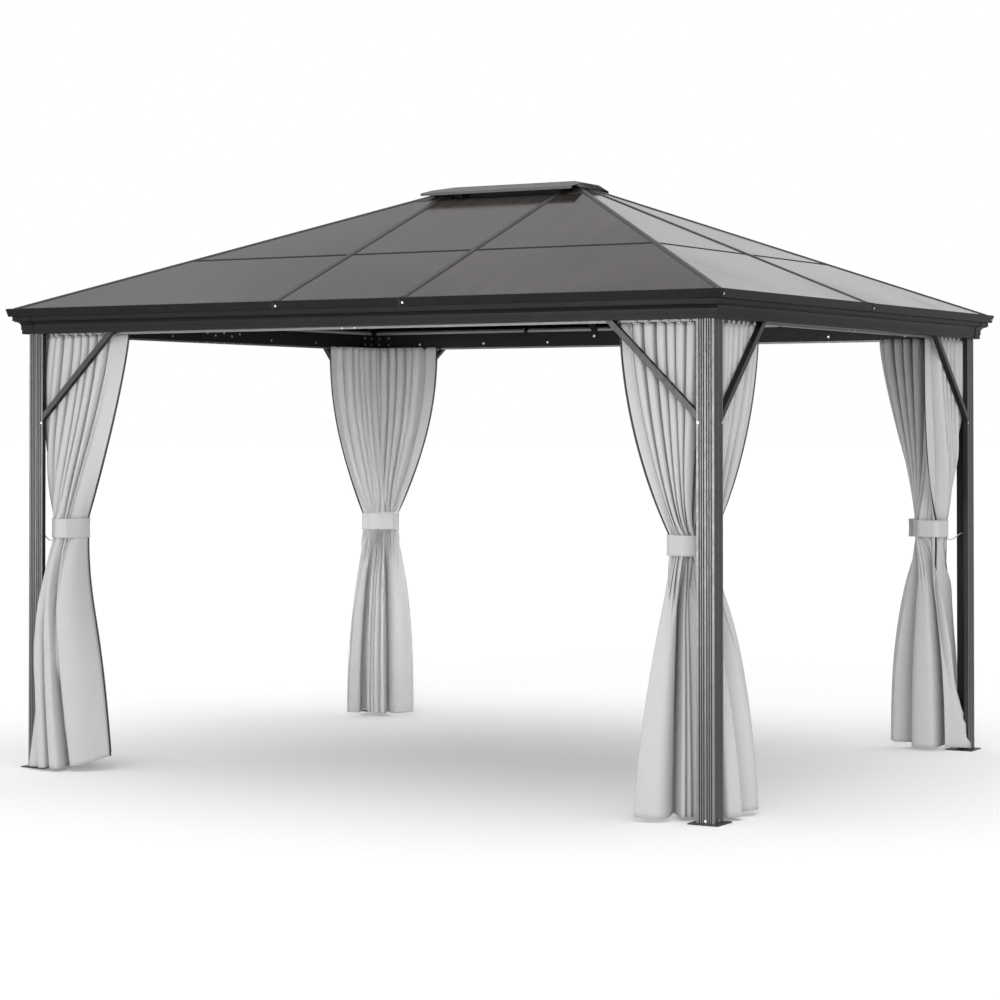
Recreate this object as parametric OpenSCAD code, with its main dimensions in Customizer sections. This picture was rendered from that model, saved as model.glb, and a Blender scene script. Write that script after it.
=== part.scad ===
// Hardtop garden gazebo: an aluminium frame on four fluted posts, a tinted hip
// roof with a raised ridge cap, and a tied-back curtain in each corner.
// Millimetres, +Z up, origin on the ground at the centre, +X along the long side.

/* [Roof] */
// Length over the eaves, along X
roof_l = 3600; // [3400:10:4000]
// Width over the eaves, along Y
roof_w = 2970; // [2700:10:3000]
// Height of the eave tip above the ground
eave_z = 2072; // [2000:1:2200]
// Rise of the roof for each unit of run
roof_slope = 0.403; // [0.37:0.001:0.43]
// Drop of the panels' top face below the eave tip, at the eave
panel_drop = 10; // [8:0.5:12]
// Thickness of a roof panel
panel_t = 6; // [4:0.5:8]
// Run from the eave to the joint between the two rows of panels
panel_joint = 595; // [400:5:900]

/* [Rafters] */
// Width of a rafter tube
rafter_w = 24; // [20:1:30]
// Depth of a rafter tube below the panels
rafter_d = 26; // [22:1:34]
// Width of a hip rafter tube
hip_w = 30; // [24:1:36]
// Width of the strip that covers a panel joint on a rafter
strip_w = 28; // [22:1:34]
// Height of that strip
strip_t = 4; // [3:0.5:6]
// Thickness of the web between the panels
web_t = 4; // [3:0.5:5]
// Wall of the drawn tubes
tube_wall = 1.8; // [1.2:0.1:2.5]

/* [Ridge cap] */
// Height of the cap's ridge above the ground
cap_z = 2671; // [2665:1:2720]
// Length of the cap
cap_l = 810; // [780:5:860]
// Width of the cap
cap_w = 356; // [340:2:400]
// Fall of the cap from its ridge to its long edges
cap_fall = 39; // [34:1:44]
// Depth of the folded lip along the cap's long edges
cap_lip = 12; // [8:1:16]
// Thickness of the cap's sheet
cap_t = 2.5; // [1.5:0.1:3]

/* [Eave trim and beams] */
// Height of the eave trim's face
trim_h = 35; // [30:1:40]
// Inward rake of the eave trim's face
trim_rake = 9; // [5:1:12]
// Thickness of the eave trim
trim_t = 2.5; // [1.5:0.1:3]
// Reach of the eave trim over the panels
trim_reach = 26; // [22:1:32]
// Height of the beams' underside
beam_z = 1960; // [1900:1:1970]
// Distance from the eave tip in to the beams' inner face
beam_in = 118; // [110:1:140]
// Length of a corner cover along each beam
cover_l = 65; // [50:1:90]
// Thickness of a corner cover
cover_t = 2; // [1:0.5:3]
// Gap at a joint between two lengths of trim, beam or panel
seam = 1; // [0.5:0.1:2]

/* [Posts] */
// Distance from the eave tip in to a post's outer faces
post_inset = 77; // [70:1:90]
// Width of a post's two faces
post_w = 78; // [70:1:90]
// Thickness of each leg of the post's angle section
post_leg = 22; // [18:1:26]
// Wall of the post's extrusion
post_wall = 2; // [1.5:0.1:2.5]
// Radius of a flute
flute_r = 3; // [2.6:0.1:3.2]
// Depth of a flute
flute_d = 1.8; // [1:0.1:2]
// Spacing of the flutes
flute_pitch = 9.6; // [8:0.1:10]
// Distance of the first flute from the post's edges
flute_start = 13; // [10:0.5:16]
// Side of a foot plate
plate_w = 130; // [120:1:140]
// Reach of a foot plate beyond the post's outer faces
plate_out = 24; // [20:1:26]
// Thickness of a foot plate
plate_t = 5; // [3:0.5:8]
// Diameter of the anchor holes
plate_hole = 10; // [8:1:12]
// Distance of the anchor holes in from the plate's edges
plate_hole_edge = 12; // [11:0.5:13]

/* [Braces] */
// Side of the brace tube
brace_w = 24; // [18:1:26]
// Reach of a brace along the beam from the post
brace_reach = 385; // [300:5:450]
// Drop of a brace down the post from the beam
brace_drop = 375; // [280:5:400]

/* [Curtains] */
// Width of the curtain rail
rail_w = 16; // [12:1:18]
// Height of the curtain rail
rail_h = 9; // [6:1:14]
// Distance from the eave tip in to the curtain rail
rail_in = 104; // [102:0.5:106]
// Height of the hem above the ground
hem_z = 12; // [10:1:40]
// Reach of a curtain's wings along the beams, from the eave corner
curtain_reach = 540; // [500:5:560]
// Height of the underside of the tie bands on the front curtains
front_band_z = 1036; // [950:2:1100]
// Height of the underside of the tie bands on the back curtains
back_band_z = 1000; // [950:2:1100]
// Height of a tie band
band_h = 86; // [60:1:110]
// Thickness of a tie band
band_t = 4; // [2:0.5:6]

/* [Hidden] */

FRAME_COLOUR = [0.25, 0.25, 0.255];
STRIP_COLOUR = [0.36, 0.36, 0.365];
PANEL_COLOUR = [0.36, 0.34, 0.33];
CURTAIN_COLOUR = [0.78, 0.78, 0.79];

FRONT = 0;
RIGHT = 1;
BACK = 2;
LEFT = 3;

eps = 0.5;
half_l = roof_l / 2;
half_w = roof_w / 2;
ridge_half = half_l - half_w;
pitch = atan(roof_slope);
hip_pitch = atan(roof_slope / sqrt(2));
hip_fold = roof_slope / sqrt(roof_slope * roof_slope + 2);
panel_rise = panel_t / cos(pitch);
under_z = eave_z - panel_drop - panel_rise;
rafter_x = ridge_half + 5;
hub_y = 62;
hub_x = ridge_half + 78;
hub_back = 70;
hub_h = 34;
hub_wall = 4;
ridge_w = 40;
vent_y = 150;
vent_x = 390;
panel_edge = 8;
strip_round = 3;
strip_fall = 2.2;
cap_slope = cap_fall / (cap_w / 2);
cap_ridge_half = ridge_half + 10;
brace_angle = atan(brace_drop / brace_reach);
curtain_top = beam_z - rail_h;

function half_length(side) = side % 2 == 0 ? half_l : half_w;
function half_depth(side) = side % 2 == 0 ? half_w : half_l;
function beam_top(run) = under_z + roof_slope * run - rafter_d / cos(pitch);

// Local frame of one side: x along the eave, y inward from the eave tip
module on_side(side) {
    rotate([0, 0, 90 * side]) translate([0, -half_depth(side), 0]) children();
}

// Local frame of one corner: x and y inward from the eave tip
module on_corner(sx, sy) {
    translate([sx * half_l, sy * half_w, 0])
        mirror([sx > 0 ? 1 : 0, 0, 0])
            mirror([0, sy > 0 ? 1 : 0, 0])
                children();
}

// The piece and its copy across the corner's diagonal
module both_ways() {
    children();
    mirror([1, -1, 0]) children();
}

// A profile drawn as (inward, height), run along the eave from x0 to x1
module run_profile(x0, x1) {
    translate([x0, 0, 0]) rotate([90, 0, 90]) linear_extrude(height = x1 - x0) children();
}

// Cuts a run along one side to the 45 degree mitre at both of the side's corners
module mitred(side) {
    reach = 200;
    half = half_length(side);
    difference() {
        children();
        for (s = [-1, 1])
            translate([0, 0, beam_z - reach])
                linear_extrude(height = 3 * reach)
                    polygon([
                        [s * (half + reach), -reach],
                        [s * (half + reach), reach],
                        [s * (half - reach), reach]
                    ]);
    }
}

// Drawn section of a rafter: tube below the panels, web between them, strip above.
// fold is the fall of the panels to each side of the section's middle.
module rafter_section(tube_w, depth, fold, rise) {
    half = [
        [0, rise + strip_t],
        [strip_w / 2 - strip_round, rise + strip_t - (strip_w / 2 - strip_round) * fold],
        [strip_w / 2, rise + strip_t - strip_fall - strip_w / 2 * fold],
        [strip_w / 2, rise - strip_w / 2 * fold],
        [web_t / 2, rise - web_t / 2 * fold],
        [web_t / 2, -web_t / 2 * fold],
        [tube_w / 2, -tube_w / 2 * fold],
        [tube_w / 2, -depth]
    ];
    last = len(half) - 1;
    bore_w = tube_w - 2 * tube_wall;
    bore_top = -tube_w / 2 * fold - tube_wall;
    difference() {
        polygon(concat(half, [for (i = [last : -1 : 1]) [-half[i][0], half[i][1]]]));
        translate([-bore_w / 2, tube_wall - depth]) square([bore_w, bore_top + depth - tube_wall]);
    }
}

// Runs a rafter section up a slope that starts at the eave tip
module sloped_run(angle, length) {
    translate([0, 0, under_z])
        rotate([angle, 0, 0])
            translate([0, length, 0])
                rotate([90, 0, 0]) linear_extrude(height = length) children();
}

// Angle section of a post with two hollow legs and flutes on the outer faces
module post_section() {
    skin = post_wall + flute_d;
    rise = flute_r - flute_d;
    near = [for (k = [0 : 2]) flute_start + k * flute_pitch];
    far = [for (at = near) post_w - at];
    difference() {
        polygon([
            [0, 0], [post_w, 0], [post_w, post_leg],
            [post_leg, post_leg], [post_leg, post_w], [0, post_w]
        ]);
        translate([skin, skin]) square([post_w - skin - post_wall, post_leg - skin - post_wall]);
        translate([skin, post_leg]) square([post_leg - skin - post_wall, post_w - post_leg - post_wall]);
        for (at = concat(near, far)) {
            translate([at, -rise]) circle(r = flute_r, $fn = 12);
            translate([-rise, at]) circle(r = flute_r, $fn = 12);
        }
    }
}

module post(sx, sy) {
    color(FRAME_COLOUR)
        on_corner(sx, sy)
            translate([post_inset, post_inset, plate_t])
                linear_extrude(height = beam_z - plate_t) post_section();
}

module foot_plate(sx, sy) {
    start = post_inset - plate_out;
    color(FRAME_COLOUR)
        on_corner(sx, sy)
            translate([start, start, 0])
                difference() {
                    cube([plate_w, plate_w, plate_t]);
                    for (u = [plate_hole_edge, plate_w - plate_hole_edge],
                         v = [plate_hole_edge, plate_w - plate_hole_edge])
                        translate([u, v, -eps])
                            cylinder(d = plate_hole, h = plate_t + 2 * eps, $fn = 32);
                }
}

// Outer face of the cornice from the beam's underside up: a plain fascia, a cove
// and a small fillet, as (inward, height)
fascia_in = 55;
fascia_h = 19;
fascia_step = 3;
cove_r = 20;
cove_z = beam_z + 35;
fillet_h = 4;
fillet_w = 6;
crown_in = 24;
crown_z = cove_z + cove_r + fillet_h;
function cornice_face() = concat(
    [[fascia_in, beam_z], [fascia_in, beam_z + fascia_h], [fascia_in - fascia_step, beam_z + fascia_h]],
    [for (a = [0 : 10 : 90])
        [fascia_in - fascia_step - cove_r + cove_r * cos(a), cove_z + cove_r * sin(a)]],
    [[crown_in + fillet_w, cove_z + cove_r], [crown_in + fillet_w, crown_z], [crown_in, crown_z],
     [crown_in, beam_top(crown_in)]]
);

// The rafters rest on the beam's top as far in as the seat; its inner edge is lower
seat_in = beam_in - 30;
inner_top = beam_z + 85;

module beam_section() {
    wall = 2;
    top_wall = 1.2 * wall;
    cove_wall = fascia_step + wall;
    difference() {
        polygon(concat(cornice_face(), [[seat_in, beam_top(seat_in)], [beam_in, inner_top], [beam_in, beam_z]]));
        polygon([
            [fascia_in + wall, beam_z + wall],
            [fascia_in + wall, cove_z + fascia_step],
            [fascia_in - cove_wall, cove_z + cove_r],
            [crown_in + fillet_w + 4 * wall, crown_z + wall],
            [crown_in + wall, crown_z + wall],
            [crown_in + wall, beam_top(crown_in) - wall],
            [seat_in - wall, beam_top(seat_in - wall) - top_wall],
            [beam_in - wall, inner_top - top_wall],
            [beam_in - wall, beam_z + wall]
        ]);
    }
}

module beam(side) {
    color(FRAME_COLOUR)
        on_side(side)
            mitred(side) {
                run_profile(seam / 2, half_length(side)) beam_section();
                run_profile(-half_length(side), -seam / 2) beam_section();
            }
}

module corner_cover(sx, sy) {
    face = cornice_face();
    skin = [for (p = face) [p[0] - cover_t, p[1] - 0.75 * cover_t]];
    last = len(face) - 1;
    reach = fascia_in + cover_l;
    color(FRAME_COLOUR)
        on_corner(sx, sy)
            both_ways()
                difference() {
                    run_profile(0, reach) polygon(concat(skin, [for (i = [last : -1 : 0]) face[i]]));
                    translate([0, 0, beam_z - reach])
                        linear_extrude(height = 3 * reach)
                            polygon([[-eps, -eps], [reach, reach], [-eps, reach]]);
                }
}

// Channel that grips the panels' lower edge: raked face, lip on the beam, top flange
module eave_trim_section() {
    top = eave_z;
    low = eave_z - trim_h;
    lip_in = crown_in;
    flange_z = eave_z - panel_drop + roof_slope * trim_reach;
    polygon([
        [0, top],
        [trim_rake, low],
        [lip_in, low + 0.2],
        [lip_in, low + trim_t],
        [trim_rake + trim_t, low + trim_t],
        [trim_t, top - trim_t],
        [trim_reach, flange_z],
        [trim_reach, flange_z + trim_t]
    ]);
}

module eave_trim(side) {
    half = half_length(side);
    joints = side % 2 == 0 ? [-half, -rafter_x, rafter_x, half] : [-half, 0, half];
    color(FRAME_COLOUR)
        on_side(side)
            mitred(side)
                for (i = [0 : len(joints) - 2])
                    run_profile(joints[i] + seam / 2, joints[i + 1] - seam / 2) eave_trim_section();
}

// Space that a rafter may fill: inside the eave trim and short of the ridge hub
module rafter_limits(run_end) {
    translate([-half_l, trim_reach + 1, 0])
        cube([roof_l, run_end - trim_reach - 1, cap_z]);
}

module rafter_at(x, run_end) {
    intersection() {
        translate([x, 0, 0])
            sloped_run(pitch, (run_end + 50) / cos(pitch))
                rafter_section(rafter_w, rafter_d, 0, panel_t);
        rafter_limits(run_end);
    }
}

module rafters(side) {
    run_end = side % 2 == 0 ? half_w - hub_y : half_l - hub_x;
    places = side % 2 == 0 ? [-rafter_x, rafter_x] : [0];
    color(STRIP_COLOUR)
        on_side(side)
            for (x = places) rafter_at(x, run_end);
}

module hip_rafter(sx, sy) {
    run_end = half_w - hub_y;
    depth = rafter_d / cos(pitch) * cos(hip_pitch);
    color(STRIP_COLOUR)
        on_corner(sx, sy)
            intersection() {
                rotate([0, 0, -45])
                    sloped_run(hip_pitch, roof_w)
                        rafter_section(hip_w, depth, hip_fold, panel_rise * cos(hip_pitch));
                translate([trim_reach + 1, trim_reach + 1, 0])
                    cube([roof_l, run_end - trim_reach - 1, cap_z]);
            }
}

// One panel between two runs up the roof; left and right give its edges at a run
module panel(run0, run1, left0, right0, left1, right1) {
    stretch = 1 / cos(pitch);
    translate([0, 0, under_z])
        rotate([pitch, 0, 0])
            linear_extrude(height = panel_t)
                polygon([
                    [left0, run0 * stretch], [right0, run0 * stretch],
                    [right1, run1 * stretch], [left1, run1 * stretch]
                ]);
}

module roof_panels(side) {
    long_side = side % 2 == 0;
    half = half_length(side);
    gap = web_t / 2 + seam;
    hip_gap = 2 * gap;
    top = long_side ? half_w - vent_y : half_l - vent_x;
    rows = [[panel_edge, panel_joint - seam], [panel_joint + seam, top]];
    edge = (long_side ? rafter_x : 0) + gap;
    color(PANEL_COLOUR)
        on_side(side)
            for (row = rows) {
                for (s = [-1, 1]) {
                    hip0 = s * (half - row[0] - hip_gap);
                    hip1 = s * (half - row[1] - hip_gap);
                    panel(row[0], row[1], s * edge, hip0, s * edge, hip1);
                }
                if (long_side) {
                    inner = rafter_x - gap;
                    panel(row[0], row[1], -inner, inner, -inner, inner);
                }
            }
}

// Gabled tube under the cap's ridge, with a folded hub at each end for the rafters
module ridge_beam() {
    hub_z = under_z + roof_slope * (half_w - hub_y) - rafter_d / cos(pitch);
    shoulder = cap_z - cap_t - cap_slope * ridge_w / 2;
    color(FRAME_COLOUR) {
        rotate([90, 0, 90])
            translate([0, 0, -cap_ridge_half])
                linear_extrude(height = 2 * cap_ridge_half)
                    difference() {
                        polygon([
                            [-ridge_w / 2, hub_z], [ridge_w / 2, hub_z], [ridge_w / 2, shoulder],
                            [0, cap_z - cap_t], [-ridge_w / 2, shoulder]
                        ]);
                        translate([tube_wall - ridge_w / 2, hub_z + tube_wall])
                            square([ridge_w - 2 * tube_wall, shoulder - hub_z - 2 * tube_wall]);
                    }
        for (s = [-1, 1])
            translate([s > 0 ? ridge_half - hub_back : -hub_x, -hub_y, hub_z])
                difference() {
                    cube([hub_x - ridge_half + hub_back, 2 * hub_y, hub_h]);
                    translate([hub_wall, hub_wall, -hub_wall])
                        cube([hub_x - ridge_half + hub_back - 2 * hub_wall, 2 * (hub_y - hub_wall), hub_h]);
                    translate([-eps, hub_y - ridge_w / 2, -eps])
                        cube([hub_x + hub_back + eps, ridge_w, hub_h - hub_wall]);
                }
    }
}

// Hip-shaped solid under a ridge, with equal falls on all four sides
module hip_block(top_z, drop) {
    reach = drop / cap_slope;
    x = cap_ridge_half + reach;
    low = top_z - drop;
    polyhedron(
        points = [
            [-x, -reach, low], [x, -reach, low], [x, reach, low], [-x, reach, low],
            [-cap_ridge_half, 0, top_z], [cap_ridge_half, 0, top_z]
        ],
        faces = [[0, 1, 2, 3], [0, 4, 5, 1], [1, 5, 2], [2, 5, 4, 3], [3, 4, 0]]
    );
}

module ridge_cap() {
    color(STRIP_COLOUR) {
        intersection() {
            difference() {
                hip_block(cap_z, 2 * cap_fall);
                hip_block(cap_z - cap_t, 2 * cap_fall);
            }
            translate([-cap_l / 2, -cap_w / 2, 0]) cube([cap_l, cap_w, 2 * cap_z]);
        }
        for (s = [-1, 1])
            translate([-cap_l / 2, s > 0 ? cap_w / 2 - cap_t : -cap_w / 2, cap_z - cap_fall - cap_lip])
                cube([cap_l, cap_t, cap_lip]);
    }
}

module brace_bar() {
    foot = post_inset + post_w;
    middle = post_inset + post_leg / 2;
    over = 2 * brace_w;
    length = sqrt(brace_reach * brace_reach + brace_drop * brace_drop) + 2 * over;
    intersection() {
        translate([foot, middle, beam_z - brace_drop])
            rotate([0, -brace_angle, 0])
                translate([-over, -brace_w / 2, -brace_w / 2])
                    difference() {
                        cube([length, brace_w, brace_w]);
                        translate([-eps, tube_wall, tube_wall])
                            cube([length + 2 * eps, brace_w - 2 * tube_wall, brace_w - 2 * tube_wall]);
                    }
        translate([foot, 0, 0]) cube([2 * brace_reach, 2 * middle, beam_z]);
    }
}

module braces(sx, sy) {
    color(STRIP_COLOUR) on_corner(sx, sy) both_ways() brace_bar();
}

// Facts of one curtain, inward from the eave tip and along X then Y: added reach of its
// wings, middle of its bundle, lift of its tie band, and its hem's first edge, bend and last edge
front_right_cloth = [[-20, 66], [245, 215], 0, [[410, 72], [140, 143], [150, 590]]];
front_left_cloth = [[56, 0], [213, 210], 3, [[450, 185], [176, 46], [135, 455]]];
back_right_cloth = [[-5, 0], [240, 237], 14, [[480, 112], [240, 240], [92, 214]]];
back_left_cloth = [[-10, 35], [227, 225], -12, [[395, 180], [265, 320], [120, 385]]];
function cloth_facts(sx, sy) = sy < 0
    ? (sx > 0 ? front_right_cloth : front_left_cloth)
    : (sx > 0 ? back_right_cloth : back_left_cloth);
function band_z(sx, sy) = (sy < 0 ? front_band_z : back_band_z) + cloth_facts(sx, sy)[2];

// Bent strip of cloth from one wing to the other, as wide as its folds are deep
strip_steps = 12;
rail_line = 138;
rail_turn = 126;
rail_half = 28;
hem_half = 42;
function bend(path, t) = let (u = 1 - t)
    u * u * u * path[0] + 3 * u * t * path[1] + t * t * t * path[2];
function bend_way(path, t) = let (d = bend(path, t + 0.01) - bend(path, t - 0.01)) d / norm(d);
function strip_edge(path, half, t, side) = let (way = bend_way(path, t))
    bend(path, t) + side * half * [-way[1], way[0]];
function rail_path(added) = [
    [curtain_reach + added[0], rail_line], [rail_turn, rail_turn], [rail_line, curtain_reach + added[1]]
];

// Round outline of a bundle inside its tie band, grown all round by a margin
bundle_half_w = 95;
bundle_half_t = 72;
across = [1, -1] / sqrt(2);
outward = [-1, -1] / sqrt(2);
function bundle_edge(middle, margin, t, side) = let (angle = 4 + 172 * t)
    middle + (bundle_half_w + margin) * cos(angle) * across
    + side * (bundle_half_t + margin) * sin(angle) * outward;

// Both edges of a stretch of the strip in order, out along one and back along the other
function edge_steps(first, last, count) = let (step = (last - first) / count) concat(
    [for (i = [0 : count]) [first + i * step, 1]],
    [for (i = [count : -1 : 0]) [first + i * step, -1]]
);
function bundle_outline(middle, margin) = [
    for (s = edge_steps(0, 1, strip_steps)) bundle_edge(middle, margin, s[0], s[1])
];

// Levels below and above the tie band, as (share of the way from it, share still in the bundle)
hem_levels = [[1, 0], [0.7, 0.24], [0.4, 0.48], [0.15, 0.8], [0, 1]];
head_levels = [[0, 1], [0.15, 0.76], [0.4, 0.42], [0.75, 0.1], [1, 0]];
function level_ring(path, half, middle, held, z, steps) = [
    for (s = steps) let (
        p = (1 - held) * strip_edge(path, half, s[0], s[1]) + held * bundle_edge(middle, 0, s[0], s[1])
    ) [p[0], p[1], z]
];

// Closed solid through rings of points, from the lowest up. rising says which way the edge
// that halves each of its four-sided faces leans.
module loft(rings, rising) {
    n = len(rings[0]);
    top = len(rings) - 1;
    polyhedron(
        points = [for (ring = rings) each ring],
        faces = concat(
            [for (r = [0 : top - 1], i = [0 : n - 1]) let (
                a = r * n + i,
                b = r * n + (i + 1) % n,
                c = b + n,
                d = a + n
            ) each rising ? [[a, b, c], [a, c, d]] : [[a, b, d], [b, c, d]]],
            [[for (i = [n - 1 : -1 : 0]) i]],
            [[for (i = [0 : n - 1]) top * n + i]]
        )
    );
}

// A curtain's two wings meet behind the post, and the tie band parts each into a skirt and a head
wing_gap = 0.004;
part_gap = 0.2;
module curtain(sx, sy) {
    facts = cloth_facts(sx, sy);
    low = band_z(sx, sy);
    high = low + band_h;
    middle = (low + high) / 2;
    head = rail_path(facts[0]);
    color(CURTAIN_COLOUR)
        on_corner(sx, sy)
            for (wing = [[0, 0.5 - wing_gap], [0.5 + wing_gap, 1]]) {
                steps = edge_steps(wing[0], wing[1], strip_steps / 2);
                loft(concat(
                    [for (l = hem_levels)
                        level_ring(facts[3], hem_half, facts[1], l[1], low + (hem_z - low) * l[0], steps)],
                    [level_ring(facts[3], hem_half, facts[1], 1, middle - part_gap, steps)]
                ), wing[0] == 0);
                loft(concat(
                    [level_ring(head, rail_half, facts[1], 1, middle + part_gap, steps)],
                    [for (l = head_levels)
                        level_ring(head, rail_half, facts[1], l[1], high + (curtain_top - high) * l[0], steps)]
                ), wing[0] == 0);
            }
}

module tie_bands() {
    slack = 0.5;
    color(CURTAIN_COLOUR)
        for (sx = [-1, 1], sy = [-1, 1])
            on_corner(sx, sy)
                translate([0, 0, band_z(sx, sy)])
                    linear_extrude(height = band_h)
                        difference() {
                            polygon(bundle_outline(cloth_facts(sx, sy)[1], slack + band_t));
                            polygon(bundle_outline(cloth_facts(sx, sy)[1], slack));
                        }
}

module curtain_rails() {
    color(FRAME_COLOUR)
        for (side = [FRONT : LEFT]) {
            half = half_length(side) - rail_in - (side % 2 == 0 ? 0 : rail_w + seam);
            on_side(side)
                translate([-half, rail_in, beam_z - rail_h]) cube([2 * half, rail_w, rail_h]);
        }
}

post(1, -1);  // post_front_right
post(-1, -1);  // post_front_left
post(1, 1);  // post_back_right
post(-1, 1);  // post_back_left
foot_plate(1, -1);  // foot_plate_front_right
foot_plate(-1, -1);  // foot_plate_front_left
foot_plate(1, 1);  // foot_plate_back_right
foot_plate(-1, 1);  // foot_plate_back_left
beam(FRONT);  // beam_front
beam(RIGHT);  // beam_right
beam(BACK);  // beam_back
beam(LEFT);  // beam_left
corner_cover(1, -1);  // corner_cover_front_right
corner_cover(-1, -1);  // corner_cover_front_left
corner_cover(1, 1);  // corner_cover_back_right
corner_cover(-1, 1);  // corner_cover_back_left
eave_trim(FRONT);  // eave_trim_front
eave_trim(RIGHT);  // eave_trim_right
eave_trim(BACK);  // eave_trim_back
eave_trim(LEFT);  // eave_trim_left
hip_rafter(1, -1);  // hip_rafter_front_right
hip_rafter(-1, -1);  // hip_rafter_front_left
hip_rafter(1, 1);  // hip_rafter_back_right
hip_rafter(-1, 1);  // hip_rafter_back_left
rafters(FRONT);  // rafters_front
rafters(RIGHT);  // rafter_right
rafters(BACK);  // rafters_back
rafters(LEFT);  // rafter_left
roof_panels(FRONT);  // roof_panels_front
roof_panels(RIGHT);  // roof_panels_right
roof_panels(BACK);  // roof_panels_back
roof_panels(LEFT);  // roof_panels_left
ridge_beam();
ridge_cap();
braces(1, -1);  // braces_front_right
braces(-1, -1);  // braces_front_left
braces(1, 1);  // braces_back_right
braces(-1, 1);  // braces_back_left
curtain(1, -1);  // curtain_front_right
curtain(-1, -1);  // curtain_front_left
curtain(1, 1);  // curtain_back_right
curtain(-1, 1);  // curtain_back_left
tie_bands();
curtain_rails();
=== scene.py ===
"""Looks of a hardtop garden gazebo: fluted posts, a tinted hip roof and tied-back corner curtains."""
import math

import bpy
import numpy as np
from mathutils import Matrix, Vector


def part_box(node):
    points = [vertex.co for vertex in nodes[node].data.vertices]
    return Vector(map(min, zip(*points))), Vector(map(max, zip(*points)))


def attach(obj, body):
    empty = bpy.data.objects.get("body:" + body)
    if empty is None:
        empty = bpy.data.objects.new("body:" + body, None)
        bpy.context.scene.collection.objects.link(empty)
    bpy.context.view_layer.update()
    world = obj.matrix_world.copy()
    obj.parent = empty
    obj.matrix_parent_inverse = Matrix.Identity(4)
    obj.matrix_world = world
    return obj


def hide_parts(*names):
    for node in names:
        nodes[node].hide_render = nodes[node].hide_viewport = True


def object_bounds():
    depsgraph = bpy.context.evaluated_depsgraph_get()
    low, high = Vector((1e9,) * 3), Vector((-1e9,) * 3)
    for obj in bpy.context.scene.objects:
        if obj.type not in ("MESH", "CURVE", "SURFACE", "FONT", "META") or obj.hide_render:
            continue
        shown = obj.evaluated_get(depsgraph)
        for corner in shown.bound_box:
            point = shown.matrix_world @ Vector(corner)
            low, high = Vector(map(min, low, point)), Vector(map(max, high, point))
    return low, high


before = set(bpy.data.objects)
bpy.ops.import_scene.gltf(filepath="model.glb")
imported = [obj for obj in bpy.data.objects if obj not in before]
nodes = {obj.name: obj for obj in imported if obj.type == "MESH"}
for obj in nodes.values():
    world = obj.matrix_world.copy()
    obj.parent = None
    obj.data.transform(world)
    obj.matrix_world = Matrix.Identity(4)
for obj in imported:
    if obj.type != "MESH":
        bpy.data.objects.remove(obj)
cad_low, cad_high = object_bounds()
half_l, half_w = cad_high.x, cad_high.y

# View: a long lens at standing eye height, off the front right corner of the gazebo.
# The lens is shifted down, so that the posts stand nearly upright in the picture.
VIEW_AT = (6.222, -10.604, 1.542)
VIEW_YAW = 30.71
VIEW_PITCH = 0.863
VIEW_LENS_MM = 94.96
VIEW_SHIFT = -0.1136

camera_data = bpy.data.cameras.new("view")
camera_data.lens = VIEW_LENS_MM
camera_data.sensor_width = 36.0
camera_data.shift_y = VIEW_SHIFT
camera = bpy.data.objects.new("view", camera_data)
camera.location = VIEW_AT
camera.rotation_euler = (math.radians(90 + VIEW_PITCH), 0.0, math.radians(VIEW_YAW))
bpy.context.collection.objects.link(camera)
bpy.context.scene.camera = camera
bpy.context.scene.view_settings.view_transform = "Standard"


# Studio: a white dome, soft light from straight above, and long low lamps on the open sides.
# The floor and the dome show as plain white, and the floor keeps the soft shadow of the roof.
FLOOR_SIZE = 400.0
FLOOR_DROP = 0.0005
FLOOR_WHITE = (0.9, 0.9, 0.9, 1.0)
FLOOR_LIFT = 0.19
PURE_WHITE = (1.0, 1.0, 1.0, 1.0)
DOME_LEVEL = 0.50
GLOSS_TOP = 0.75
GLOSS_LOW = (1.10, 1.10, 1.10, 1.0)
GLOSS_HIGH = (0.36, 0.35, 0.345, 1.0)
# Each sun's direction, strength and spread in degrees
SUNS = {
    "overhead": ((0.0, 0.0, 1.0), 1.15, 70.0),
    "front_wash": ((0.35, -0.92, 0.15), 1.35, 45.0),
}
# Each lamp's place, aim, size, spread in degrees and watts; strips light gloss only, the back lamp none
LAMPS = {
    "key_strip": ((-2.9, -10.8, 1.0), (0.0, 0.0, 1.0), (4.4, 1.6), 180.0, 950.0),
    "side_strip": ((-9.0, -9.6, 1.0), (0.0, 0.0, 1.0), (4.4, 1.6), 180.0, 340.0),
    "fill_lamp": ((9.0, -6.5, 1.4), (0.0, 0.0, 1.0), (4.0, 2.4), 180.0, 110.0),
    "back_lamp": ((4.2, -8.8, 1.4), (-1.45, 1.15, 1.05), (0.8, 0.8), 14.0, 3.8),
}


def start_material(name):
    """A new material with a Principled shader, its node list, and the shader."""
    material = bpy.data.materials.new(name)
    material.use_nodes = True
    return material, material.node_tree, material.node_tree.nodes["Principled BSDF"]


def feed(tree, node, inputs):
    """Sets or links a node's named inputs."""
    for key, value in inputs.items():
        if isinstance(value, bpy.types.NodeSocket):
            tree.links.new(value, node.inputs[key])
        else:
            node.inputs[key].default_value = value


def add_node(tree, kind, inputs=None, **settings):
    """A node of that kind, with values or links for its named inputs."""
    made = tree.nodes.new(kind)
    for key, value in settings.items():
        setattr(made, key, value)
    feed(tree, made, inputs or {})
    return made


def maths(tree, operation, *values):
    """Result of one operation on values or links."""
    return add_node(tree, "ShaderNodeMath", dict(enumerate(values)), operation=operation).outputs[0]


def blend(tree, factor, first, second):
    """A colour between two."""
    mix = add_node(tree, "ShaderNodeMix", {"Factor": factor, 6: first, 7: second}, data_type="RGBA")
    return mix.outputs[2]


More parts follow.
